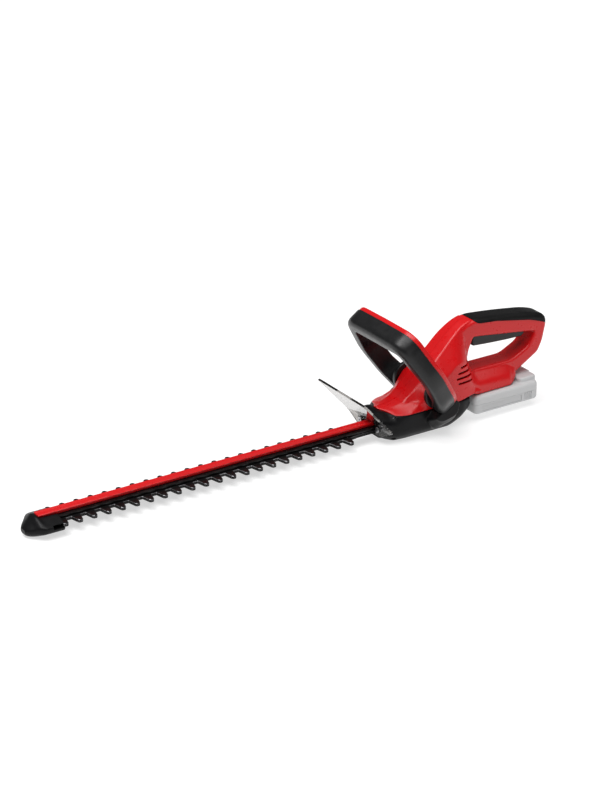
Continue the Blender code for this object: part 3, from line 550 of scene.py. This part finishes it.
SHOE_HALF = 24.0
SPINE_LINES = (
    # x, z, angle of the spine there, width of the line, half of its length
    (-39.5, 116.4, 43, 0.9, 40), (3.2, 74.4, 44, 0.7, 9), (6.8, 71.0, 44, 0.7, 9),
)
LINE_ABOVE, LINE_DEEP = 6.0, 1.2  # how far its cutter stands out of the spine, and sinks into it
VENTS = ((-53, 64.4), (-50, 71.9), (-53, 79.4), (-58, 86.9))  # front end and lower edge of each slot
VENT_REAR, VENT_TALL, VENT_REACH = -80.3, 3.2, 1.6
VENT_FLOOR, VENT_MOUTH = 18.3, 50.0  # how far out across the tool each slot starts and ends


def shifted_in(stations, distance):
    """Stations of the hollow inside a wall; its lowest point drops further, to leave the shell open below."""
    inner = []
    for x, half in stations:
        drops = (3 * distance,) + (distance,) * (len(half) - 1)
        inner.append((x, tuple((y - distance, z - drop) for (y, z), drop in zip(half, drops))))
    return inner


def housing_shell():
    """Both red shells as one hollow body."""
    outline, opening = soften(HANDLE_OUTLINE), soften(HAND_OPENING)
    shell = loft("shell", BODY_STATIONS, BODY_REACHES, crown=BODY_CROWN)
    arm = loft("arm", ARM_STATIONS, ARM_REACHES, crown=ARM_CROWN)
    handle = slab("handle", outline, "y", -HANDLE_HALF, HANDLE_HALF, HANDLE_EDGE, opening, OPENING_EDGE)
    combine(shell, "UNION", [arm])
    carve(shell, slab("hand_room", opening, "y", -THROUGH, THROUGH))
    gather(shell, handle)
    melt(shell, 0.7, 2)
    carve(shell, *spine_grooves())
    core = slab("core", offset(outline, GRIP_DEPTH), "y", -CORE_HALF, CORE_HALF, hole=opening)
    carve(shell, slab("band", soften(GRIP_BAND), "y", -BAND_HALF, BAND_HALF))
    combine(shell, "UNION", [core])
    hollow = loft("hollow", shifted_in(BODY_STATIONS[:-2], WALL), HOLLOW_REACHES)
    ring = slab("ring", offset(outline, GRIP_DEPTH + WALL), "y", -RING_HALF, RING_HALF,
                hole=offset(opening, -WALL))
    shoe_low, shoe_high = span("battery_shoe")
    shoe_room = box("shoe_room", (shoe_low[0] - PIECE_GAP, -SHOE_HALF, 30),
                    (shoe_high[0] + PIECE_GAP, SHOE_HALF, 47))
    return carve(shell, hollow, ring, box("trigger_slot", *TRIGGER_SLOT), shoe_room)


def spine_grooves():
    """Shallow lines across the spine: one behind the front loop and two on the front cover."""
    grooves = []
    for x, z, angle, width, half in SPINE_LINES:
        turn = math.radians(angle)
        along = np.array((-math.cos(turn), math.sin(turn))) * width / 2
        outward = np.array((math.sin(turn), math.cos(turn)))
        top, floor = np.array((x, z)) + outward * LINE_ABOVE, np.array((x, z)) - outward * LINE_DEEP
        outline = [tuple(point) for point in (top - along, top + along, floor + along, floor - along)]
        grooves.append(slab("spine_groove", outline, "y", -half, half))
    return grooves


def vent_cutters(side):
    """Level slots that wrap round the rear corner of the motor room."""
    low, high = sorted((side * VENT_FLOOR, side * VENT_MOUTH))
    cutters = []
    for front, height in VENTS:
        slot = rectangle((VENT_REAR, height), (front, height + VENT_TALL), VENT_REACH)
        cutters.append(slab("vent", soften(slot, 4), "y", low, high))
    return cutters


def red_housing():
    shell = housing_shell()
    for name, side in (("housing_left", 1), ("housing_right", -1)):
        half = copy_of(shell, f"{name}_shell")
        low, high = sorted((side * SEAM, side * THROUGH))
        clip(half, box("half_space", (-260, low, 0), (100, high, 200)))
        carve(half, *vent_cutters(side))
        settle(half, "machine", RED, "red_plastic", name)
    discard(shell)


GRIP_PROUD, GRIP_SWELL, GRIP_EDGE = 0.5, 0.6, 8.0  # past the handle's outline, past its sides, rounding
BAND_GAP = 0.5  # shown between the edge of the grip and the red handle
TRIGGER_OUTLINE = (
    (-96, 103.5, 5), (-96, 126, 4), (-112, 128, 4), (-150, 121, 4), (-184, 119, 4), (-191, 114, 5),
    (-187, 99, 6), (-160, 99.5, 20), (-130, 101, 20),
)
TRIGGER_HALF, TRIGGER_EDGE = 9.5, 3.0


def soft_grip():
    """Rubber over the top and back of the handle, hollow where the handle's core runs through it."""
    outline = offset(soften(HANDLE_OUTLINE, 8), -GRIP_PROUD)
    half = HANDLE_HALF + GRIP_SWELL
    grip = slab("grip_cap", outline, "y", -half, half, GRIP_EDGE, steps=6)
    melt(grip, 0.8, 10)
    clip(grip, slab("band", offset(soften(GRIP_BAND), BAND_GAP), "y", -BAND_HALF, BAND_HALF))
    core_half = CORE_HALF + PIECE_GAP
    core = offset(soften(HANDLE_OUTLINE), GRIP_DEPTH - PIECE_GAP)
    carve(grip, slab("core", core, "y", -core_half, core_half))
    settle(grip, "machine", RUBBER, "soft_grip", "rear_grip")


def trigger():
    lever = slab("trigger_lever", soften(TRIGGER_OUTLINE, 6), "y", -TRIGGER_HALF, TRIGGER_HALF, TRIGGER_EDGE)
    melt(lever, 0.7, 4)
    settle(lever, "trigger", BLACK, "black_plastic", "rear_trigger")


# ------------------------------------------------------------------ front loop
LOOP_FOOT = Vector((-27.0, 0.0, 38.0))
LOOP_LEAN = 34.0
LOOP_DEPTH = 31.0
LOOP_STEP = 1.6
LOOP_END_REACH, LOOP_END_SHRINK = 6.0, 0.16
HUB = (-17.0, 62.0)
HUB_RADIUS, HUB_INNER, HUB_OUTER, HUB_EDGE = 22.0, 34.0, 41.0, 1.6
LOOP_HALF_PATH = ((49, 12), (69, 38, 10), (79, 84, 14), (60.5, 144.8, 15), (0, 146.2))
LOOP_SHARE = ((20, 45, 100, 138), (1.0, 0.92, 0.92, 1.0))  # share of the full depth, by height up the loop
SHELL_SECTION = (
    # across the loop's ring (outwards), then back from its front face
    (-10, 0, 1.6), (10, 0, 13), (10, 25.2, 0.4), (9.2, 25.2, 0.3), (9.2, 20.8, 0.5), (6.5, 20.8, 0.5),
    (6.5, 8, 1), (-7.2, 8, 1), (-7.2, 29.8, 0.4), (-10, 29.8, 1.2),
)
BAR_SECTION = (
    (-6.9, 13, 1), (6.2, 13, 1), (6.2, 25.4, 0.5), (8.9, 25.4, 0.4), (8.9, 32.5, 3), (1, 32.5, 3),
    (-6.9, 29.6, 1.5),
)


def loop_path():
    """Evenly spaced points of the loop's centre line, in its own plane, from foot to foot."""
    line = np.array(soften(mirrored(LOOP_HALF_PATH[:-1], LOOP_HALF_PATH[-1:]), 14))
    travelled = np.concatenate(([0], np.cumsum(np.linalg.norm(np.diff(line, axis=0), axis=1))))
    at = np.linspace(0, travelled[-1], round(travelled[-1] / LOOP_STEP))
    return np.stack([np.interp(at, travelled, line[:, axis]) for axis in (0, 1)], axis=1), at


def loop_sweep(name, section):
    """The section carried round the loop, and drawn in a little at its two ends."""
    line, travelled = loop_path()
    ways = np.gradient(line, axis=0)
    ways /= np.linalg.norm(ways, axis=1)[:, None]
    ways[0], ways[-1] = (0, 1), (0, -1)
    lean = math.radians(LOOP_LEAN)
    up = Vector((math.sin(lean), 0, math.cos(lean)))
    back = Vector((-math.cos(lean), 0, math.sin(lean)))
    outline = np.array(soften(section))
    middle = (outline.min(axis=0) + outline.max(axis=0)) / 2
    bm = bmesh.new()
    rows = []
    for point, way, gone in zip(line, ways, travelled):
        from_end = min(gone, travelled[-1] - gone)
        shrink = 1 - LOOP_END_SHRINK * max(0.0, 1 - from_end / LOOP_END_REACH) ** 2
        share = np.interp(point[1], *LOOP_SHARE)
        row = []
        for across, depth in middle + (outline - middle) * shrink:
            side = point + np.array((way[1], -way[0])) * across
            place = LOOP_FOOT + up * side[1] + back * (depth * share - LOOP_DEPTH / 2)
            row.append(bm.verts.new((place.x, side[0], place.z)))
        rows.append(row)
    skin(bm, rows)
    return finish_mesh(name, bm)


def front_loop():
    """Black shell with a round hub inside each foot, and the red bar in the channel along its back."""
    shell = loop_sweep("loop_shell_front", SHELL_SECTION)
    for side in (1, -1):
        low, high = sorted((side * HUB_INNER, side * HUB_OUTER))
        combine(shell, "UNION", [rod("hub", HUB, HUB_RADIUS, "y", low, high, HUB_EDGE)])
    settle(shell, "machine", BLACK, "black_plastic", "loop_shell")
    settle(loop_sweep("loop_switch_bar", BAR_SECTION), "switch_bar", RED, "red_plastic", "switch_bar")


# ------------------------------------------------------------------ gear case
CASE_STATIONS = (
    (84, ((17, 10), (24, 17), (24, 34), (14, 45))),
    (68, ((21, 8), (30, 16), (31, 34), (15, 46))),
    (56, ((22, 3), (33, 13), (34, 32), (16, 43.4))),
    (45, ((24, 0), (36, 12), (36.5, 32), (33, 40))),
    (28, ((26, 0), (37, 12), (38, 32), (38, 40))),
    (-40, ((26, 0), (37, 11), (38, 32), (38, 40))),
    (-60, ((24, 5), (36, 16), (38, 32), (38, 40))),
    (-76, ((22, 16), (32, 24), (34, 32), (34, 40))),
)
CASE_REACHES = (5, 7, 6, 2)
EAR_OUTER = ((-37, 33, 7), (-12, 27, 8), (0, 34, 5), (-8.6, 39.2, 1), (-32.8, 55.5, 1), (-41, 50, 5))
EAR_ROOT = ((-44, 14, 7), (-10, 6, 8), (4, 26, 5), (-7, 38.4, 1), (-32.8, 54.8, 1), (-46, 48, 5))
EAR_STEPS = ((33, 0), (41, 0.15), (49, 0.5), (55, 0.85), (58, 1))  # distance out, share of the outer outline
CAVITY = ((-56, -27, 8), (18, -34, 14), (39, -14, 8), (39, 14, 8), (18, 34, 14), (-56, 27, 8))
POCKET = ((-40, -26, 6), (20, -26, 8), (33, -10, 6), (33, 10, 6), (20, 26, 8), (-40, 26, 6))
SCREW_ROOM, SCREW_WAY = 3.9, 1.9  # radii round a case screw's head and its shank
GUARD_FOOT = (span("guard_screw_left")[1][0] - 2.3, 27.0)
GUARD_TOP = (span("hand_guard")[1][0], 81.0)
GUARD_THICK = 3.0


def ear(side):
    """Block on one side of the case that the front loop stands on."""
    bm = bmesh.new()
    root, outer = np.array(soften(EAR_ROOT)), np.array(soften(EAR_OUTER))
    rows = []
    for across, share in EAR_STEPS:
        rows.append([bm.verts.new((x, side * across, z)) for x, z in (1 - share) * root + share * outer])
    skin(bm, rows)
    return finish_mesh("ear", bm)


def gear_case():
    """Black belly with its ears, cut flat behind the guard and hollow round the gear, blades and screws."""
    case = loft("gear_case_body", CASE_STATIONS, CASE_REACHES)
    gather(case, ear(1), ear(-1))
    melt(case, 0.8, 6)
    blade, bar = span("lower_blade")[0][2], span("support_bar")[0][2]
    rail, rail_top = span("blade_rail")[0][2], span("blade_rail")[1][2]
    lean = (GUARD_TOP[0] - GUARD_FOOT[0]) / (GUARD_TOP[1] - GUARD_FOOT[1])
    front = GUARD_FOOT[0] - GUARD_THICK - PIECE_GAP
    bend = GUARD_FOOT[1] + 1
    nose = [(front, -5), (front, bend), (front + lean * 40, bend + 40), (200, 70), (200, -5)]
    carve(case, slab("nose", nose, "y", -THROUGH, THROUGH),
          slab("cavity", soften(CAVITY), "z", blade + 7, 60),
          slab("pocket", soften(POCKET), "z", blade - 2, 45),
          box("blade_way", (20, -21, blade - 2), (100, 21, bar)),
          box("bar_way", (50, -11.6, bar - 1), (100, 11.6, rail)),
          box("rail_way", (50, -7.6, rail - 1), (100, 7.6, rail_top + 0.5)))
    for index in range(1, 5):
        name = f"case_screw_{index}"
        centre, head = centre_of(name, "z"), span(name)[0][2]
        carve(case, rod("screw_room", centre, SCREW_ROOM, "z", -3, head + 3.3),
              rod("screw_way", centre, SCREW_WAY, "z", 0, 39))
    settle(case, "machine", CASING, "black_plastic", "gear_case")


# ------------------------------------------------------------------ hand guard
GUARD_BASE = 13.0  # height of its lower edge
GUARD_HALF = ((58, 84, 7), (54, 27.5, 2), (27, 13, 6), (14.5, GUARD_BASE, 1.5), (14.5, 29, 1))
GUARD_HOLE = 2.2


def hand_guard():
    """Clear sheet, upright where it is screwed on and leaning forward above, with a notch over the blades."""
    (foot_x, bend_z), (top_x, top_z) = GUARD_FOOT, GUARD_TOP
    rise = np.array((top_x - foot_x, top_z - bend_z))
    behind = np.array((-rise[1], rise[0])) / np.linalg.norm(rise) * GUARD_THICK
    rear_x = foot_x - GUARD_THICK
    profile = [(foot_x, GUARD_BASE), (foot_x, bend_z, 4), (top_x, top_z),
               (top_x + behind[0], top_z + behind[1]), (rear_x, bend_z + 1.2, 4), (rear_x, GUARD_BASE)]
    guard = slab("guard_sheet", soften(profile, 12), "y", -62, 62)
    clip(guard, slab("guard_face", soften(mirrored(GUARD_HALF), 6), "x", 40, 160))
    for side in ("left", "right"):
        centre = centre_of(f"guard_screw_{side}", "x")
        carve(guard, rod("guard_hole", centre, GUARD_HOLE, "x", 60, 80, sides=24))
    bevel(guard, 0.5, 2)
    settle(guard, "machine", CLEAR, "clear_plastic", "hand_guard", angle=4)
    guard.visible_shadow = False  # light passes through it to the case behind


# ------------------------------------------------------------------ blades
PITCH = 21.0
TEETH = 22
FIRST_TOOTH = 560.0
TOOTH = ((-6.6, 14.0), (-3.6, 26.6), (-1.8, 28.5))  # half of a tooth, along and across the blade
STROKE = 10.5
WINDOW = (20.5, 15.25)  # half of the window in a blade's tail, along and across
BOLT_SLOT = (8.0, 2.8)  # half of a slot, along and across
PIP_OUT, PIP_RADIUS, PIP_RISE = 9.0, 1.5, 0.3


def blade_outline():
    low, high = span("upper_blade")
    side = [(low[0], 20), (30, 20), (38, 12), (98, 12)]
    for index in reversed(range(TEETH)):
        x = FIRST_TOOTH - index * PITCH
        side += [(x + dx, y) for dx, y in TOOTH] + [(x - dx, y) for dx, y in reversed(TOOTH)]
    side += [(high[0] - 2, 14), (high[0], 11)]
    return side + [(x, -y) for x, y in reversed(side)]


def blades():
    """Both blades, ground bright along the edges of their teeth."""
    for name, way in (("upper_blade", -1), ("lower_blade", 1)):
        low, high = span(name)
        blade = slab(f"{name}_ground", blade_outline(), "z", low[2], high[2])
        middle = way * STROKE / 2
        carve(blade, box("window", (middle - WINDOW[0], -WINDOW[1], 0), (middle + WINDOW[0], WINDOW[1], 40)))
        for index in range(1, 6):
            x = centre_of(f"blade_bolt_{index}", "z")[0] + middle
            slot = rectangle((x - BOLT_SLOT[0], -BOLT_SLOT[1]), (x + BOLT_SLOT[0], BOLT_SLOT[1]), 2.5)
            carve(blade, slab("slot", soften(slot), "z", 0, 40))
        blade.data.materials.clear()
        blade.data.materials.append(BLADE_STEEL)
        blade.data.materials.append(GROUND_STEEL)
        bevel(blade, 0.55, 1, material=1)
        settle(blade, name, BLADE_STEEL, "dark_steel", name, angle=20)


def support_bar():
    """Bar along the blades with a row of raised pips near each edge."""
    low, high = span("support_bar")
    near_tip = high[0] - 20
    outline = [(low[0], low[1]), (near_tip, low[1]), (high[0], -5),
               (high[0], 5), (near_tip, high[1]), (low[0], high[1])]
    rounded = soften([(*point, 2) for point in outline])
    bar = slab("support_bar_strip", rounded, "z", low[2], high[2], 0.5, steps=2)
    pips = []
    for index in range(TEETH):
        for side in (1, -1):
            centre = (FIRST_TOOTH - (index + 0.5) * PITCH, side * PIP_OUT)
            pips.append(rod("pip", centre, PIP_RADIUS, "z", high[2] - 1, high[2] + PIP_RISE, 0.25, 20))
    gather(bar, *pips)
    settle(bar, "machine", BLADE_STEEL, "dark_steel", "support_bar")


def blade_rail():
    """Red rail on the bar: a flange on a narrower foot, with a shallow groove along its top."""
    low, high = span("blade_rail")
    half, top = high[1], high[2]
    foot, under = half - 2.2, top - 1.8
    left = [(foot, low[2], 0.4), (foot, under - 0.6, 0.4), (half, under, 0.3),
            (half, top, 1.2), (3.6, top, 1), (2, top - 0.5, 1)]
    rail = slab("rail_strip", soften(mirrored(left)), "x", low[0], high[0], 0.4, steps=2)
    settle(rail, "machine", PAINT, "red_rail", "blade_rail")


TIP_STATIONS = (
    (562, ((10, 0), (20, 5), (27, 9), (28.5, 12), (28.5, 17.4), (8.2, 24.2))),
    (586, ((10, 0), (20, 5), (27, 9), (28.5, 12), (28.5, 17.2), (8.2, 25))),
    (592, ((9, 0), (18, 4.8), (25, 8.8), (26, 12), (25.4, 17.4), (7.6, 26.8))),
    (600, ((7, 0.6), (14, 4.8), (17, 8.2), (17.6, 11.5), (17, 14.5), (6, 20))),
    (606, ((5, 2.5), (8.5, 5), (10.5, 7.6), (11, 10), (10.5, 12), (4, 14.5))),
    (609, ((3, 5), (5, 6.3), (6, 7.6), (6.2, 9), (5.8, 10.3), (2.5, 11.5))),
)
TIP_REACHES = (3, 3, 2, 2, 3, 5)
TIP_SCREW = (585.5, 0)


def tip_guard():
    """Black nose with room for the last teeth, the bar, the rail and the screw from below."""
    guard = loft("tip_guard_nose", TIP_STATIONS, TIP_REACHES, spacing=1.0)
    melt(guard, 0.6, 5)
    blade_low, blade_high = span("lower_blade")[0][2] - 0.8, span("support_bar")[0][2]
    bar, rail = span("support_bar")[1], span("blade_rail")[1]
    carve(guard, box("tooth_slot", (550, -40, blade_low), (578.5, 40, blade_high)),
          box("blade_room", (550, -15, blade_low), (581, 15, blade_high)),
          box("bar_room", (550, -11.5, blade_high - 1), (bar[0] + 0.4, 11.5, bar[2] + 0.3)),
          box("rail_room", (550, -7.4, bar[2]), (rail[0] + 0.4, 7.4, 40)),
          rod("screw_room", TIP_SCREW, 3.6, "z", -5, 5.3))
    settle(guard, "machine", CASING, "black_plastic", "tip_guard")


# ------------------------------------------------------------------ battery
PACK_CORNER, PACK_EDGE, PACK_WALL, PACK_FLOOR = 9.0, 5.0, 3.0, 2.0
LID_TOP = 38.0
HUMP_FRONT, HUMP_HALF, HUMP_EDGE = -166.0, 31.0, 3.0
SHOE_GROOVE = ((12.6, 41), (17.4, 41), (17.4, 35.7), (21.4, 35.7), (21.4, 31.6), (12.6, 31.6))
PANEL_DEPTH = 1.1
GROOVES, GROOVE_STEP, GROOVE_WIDTH = 4, 3.6, 1.7


def pack_slab(name, low, high, bottom, top):
    """Plate with the outline and the rounded edges of the battery pack."""
    outline = soften(rectangle(low, high, PACK_CORNER), 8)
    return slab(name, outline, "z", bottom, top, PACK_EDGE, steps=5)


def inside(low, high, bottom, top):
    """Cutter that leaves the pack's walls."""
    return box("inside", (low[0] + PACK_WALL, low[1] + PACK_WALL, bottom),
               (high[0] - PACK_WALL, high[1] - PACK_WALL, top))


def battery():
    """Case and lid of the pack, each hollow, with the slots of the lid that take the battery shoe."""
    low, high = span("battery_case")
    case = pack_slab("pack_case", low, high, low[2], high[2] + 8)
    clip(case, box("below", (-300, -THROUGH, 0), (0, THROUGH, high[2])))
    carve(case, inside(low, high, low[2] + PACK_FLOOR, 60), *battery_panels(low, high))
    settle(case, "battery", GREY, "grey_plastic", "battery_case")
    rear, bottom = span("battery_lid")[0][0], span("battery_lid")[0][2]
    lid = pack_slab("pack_lid", low, high, bottom - 8, LID_TOP)
    hump = soften(rectangle((rear, -HUMP_HALF), (HUMP_FRONT, HUMP_HALF), 6), 6)
    gather(lid, slab("hump", hump, "z", 30, span("battery_lid")[1][2], HUMP_EDGE))
    melt(lid, 0.8, 4)
    clip(lid, box("above", (-300, -THROUGH, bottom), (0, THROUGH, 60)))
    carve(lid, inside(low, high, 20, 30.8),
          box("terminal_room", (-109.5, -11.5, 32.7), (-70, 11.5, 60)),
          box("latch_room", (rear - 5, -10.5, 32.5), (rear + 10, 10.5, 43.5)))
    shoe = span("battery_shoe")[0][0] - 2 * PIECE_GAP
    for side in (1, -1):
        carve(lid, slab("groove", [(side * y, z) for y, z in SHOE_GROOVE], "x", shoe, -70))
    settle(lid, "battery", GREY, "grey_plastic", "battery_lid")


def battery_panels(low, high):
    """Shallow label recess in each long side, with grip grooves behind it."""
    cutters = []
    for side, face in ((1, high[1]), (-1, low[1])):
        floor, mouth = sorted((face - side * PANEL_DEPTH, face + side * 2))
        panel = soften(rectangle((low[0] + 30, 14), (high[0] - 12, 23), 2), 4)
        cutters.append(slab("label_recess", panel, "y", floor, mouth))
        for index in range(GROOVES):
            x = low[0] + 13 + GROOVE_STEP * index
            groove = soften(rectangle((x, 12), (x + GROOVE_WIDTH, 25), 0.8), 3)
            cutters.append(slab("grip_groove", groove, "y", floor, mouth))
    return cutters


# ------------------------------------------------------------------ screws
HEAD_TALL, HEAD_EDGE, RECESS_DEPTH = 2.4, 0.8, 1.6
LOBES, LOBE_STEPS = 6, 36
SHANK_RADIUS = 1.5


def screw(name, node, body, axis, outward):
    """Pan-head screw with a six-lobed recess; outward is the way that its head faces along the axis."""
    ends = [corner["xyz".index(axis)] for corner in span(node)]
    tail, top = ends if outward > 0 else reversed(ends)
    centre = centre_of(node, axis)
    low, high = span(node)
    radius = min(high[index] - low[index] for index in range(3) if index != "xyz".index(axis)) / 2
    head = rod(name, centre, radius, axis, *sorted((top, top - outward * HEAD_TALL)), HEAD_EDGE)
    lobes = []
    for turn in np.linspace(0, 2 * math.pi, LOBE_STEPS, endpoint=False):
        reach = radius * (0.42 + 0.09 * math.cos(LOBES * turn))
        lobes.append((centre[0] + reach * math.cos(turn), centre[1] + reach * math.sin(turn)))
    carve(head, slab("recess", lobes, axis, *sorted((top + outward * 2, top - outward * RECESS_DEPTH))))
    shank_ends = sorted((top - outward * 2, tail))
    combine(head, "UNION", [rod("shank", centre, SHANK_RADIUS, axis, *shank_ends, sides=20)])
    settle(head, body, ZINC, "bright_steel", node)


def screws():
    for index in range(1, 5):
        screw(f"case_screw_head_{index}", f"case_screw_{index}", "machine", "z", -1)
    for index in range(1, 4):
        screw(f"housing_screw_head_{index}", f"housing_screw_{index}", "machine", "y", -1)
    for side in ("left", "right"):
        screw(f"guard_screw_head_{side}", f"guard_screw_{side}", "machine", "x", 1)


# ------------------------------------------------------------------ room, light and camera
CAMERA_AT = (1.8199, 2.5359, 1.4394)  # metres
AZIMUTH, ELEVATION, ROLL = 147.205, 24.134, -0.286
LENS = 110.04
FLOOR_HALF = 6000.0
WHITE = (1.0, 1.0, 1.0, 1.0)


def camera():
    """Camera fitted to the photograph's view."""
    azimuth, elevation, roll = (math.radians(angle) for angle in (AZIMUTH, ELEVATION, ROLL))
    level = math.cos(elevation)
    back = Vector((math.sin(azimuth) * level, -math.cos(azimuth) * level, math.sin(elevation)))
    right = Vector((math.cos(azimuth), math.sin(azimuth), 0))
    up = back.cross(right)
    rolled = right * math.cos(roll) + up * math.sin(roll), up * math.cos(roll) - right * math.sin(roll)
    data = bpy.data.cameras.new("camera")
    data.lens = LENS
    made = bpy.data.objects.new("camera", data)
    matrix = Matrix((*rolled, back)).transposed().to_4x4()
    matrix.translation = CAMERA_AT
    made.matrix_world = matrix
    bpy.context.scene.collection.objects.link(made)
    bpy.context.scene.camera = made


def area_light(name, place, target, side, power):
    """Square light at a place in metres, aimed at its target."""
    data = bpy.data.lights.new(name, "AREA")
    data.shape = "RECTANGLE"
    data.size = data.size_y = side
    data.energy = power
    made = bpy.data.objects.new(name, data)
    made.location = place
    made.rotation_euler = (Vector(target) - Vector(place)).to_track_quat("-Z", "Y").to_euler()
    bpy.context.scene.collection.objects.link(made)


def sun(name, azimuth, elevation, strength, angle):
    data = bpy.data.lights.new(name, "SUN")
    data.energy = strength
    data.angle = math.radians(angle)
    made = bpy.data.objects.new(name, data)
    made.rotation_euler = (0, math.radians(90 - elevation), math.radians(azimuth))
    bpy.context.scene.collection.objects.link(made)


def paper_floor():
    """White floor that glows a little, so that shadows on it stay faint."""
    floor = box("floor", (-FLOOR_HALF, -FLOOR_HALF, -10), (FLOOR_HALF, FLOOR_HALF, 0))
    material, tree, shader, where = blank("studio_floor")
    paper = noise(tree, where, 6.0)
    wire(tree, shader,
         Base_Color=clouded(tree, paper, (0.44, 0.44, 0.44), (0.46, 0.46, 0.46)),
         Roughness=between(tree, paper, 0.75, 0.85))
    fix(shader, Specular_IOR_Level=0.1, Emission_Color=WHITE, Emission_Strength=0.6)
    floor.data.materials.append(material)


def studio():
    paper_floor()
    world = bpy.data.worlds.new("studio")
    world.use_nodes = True
    background = world.node_tree.nodes["Background"]
    fix(background, Color=WHITE, Strength=0.16)
    bpy.context.scene.world = world
    bpy.context.scene.view_settings.view_transform = "Standard"
    middle = (0, 0, 0.08)
    sun("overhead", azimuth=20, elevation=80, strength=2.7, angle=60)
    area_light("softbox", (1.15, -0.25, 1.75), middle, side=1.0, power=15)
    area_light("fill", (0.6, 2.4, 0.9), middle, side=0.8, power=3)
    area_light("rim", (-0.9, 0.7, 1.35), (0.1, 0, 0.05), side=0.8, power=3)


camera()
dress_cad_nodes()
red_housing()
soft_grip()
trigger()
front_loop()
gear_case()
hand_guard()
blades()
support_bar()
blade_rail()
tip_guard()
battery()
screws()
studio()
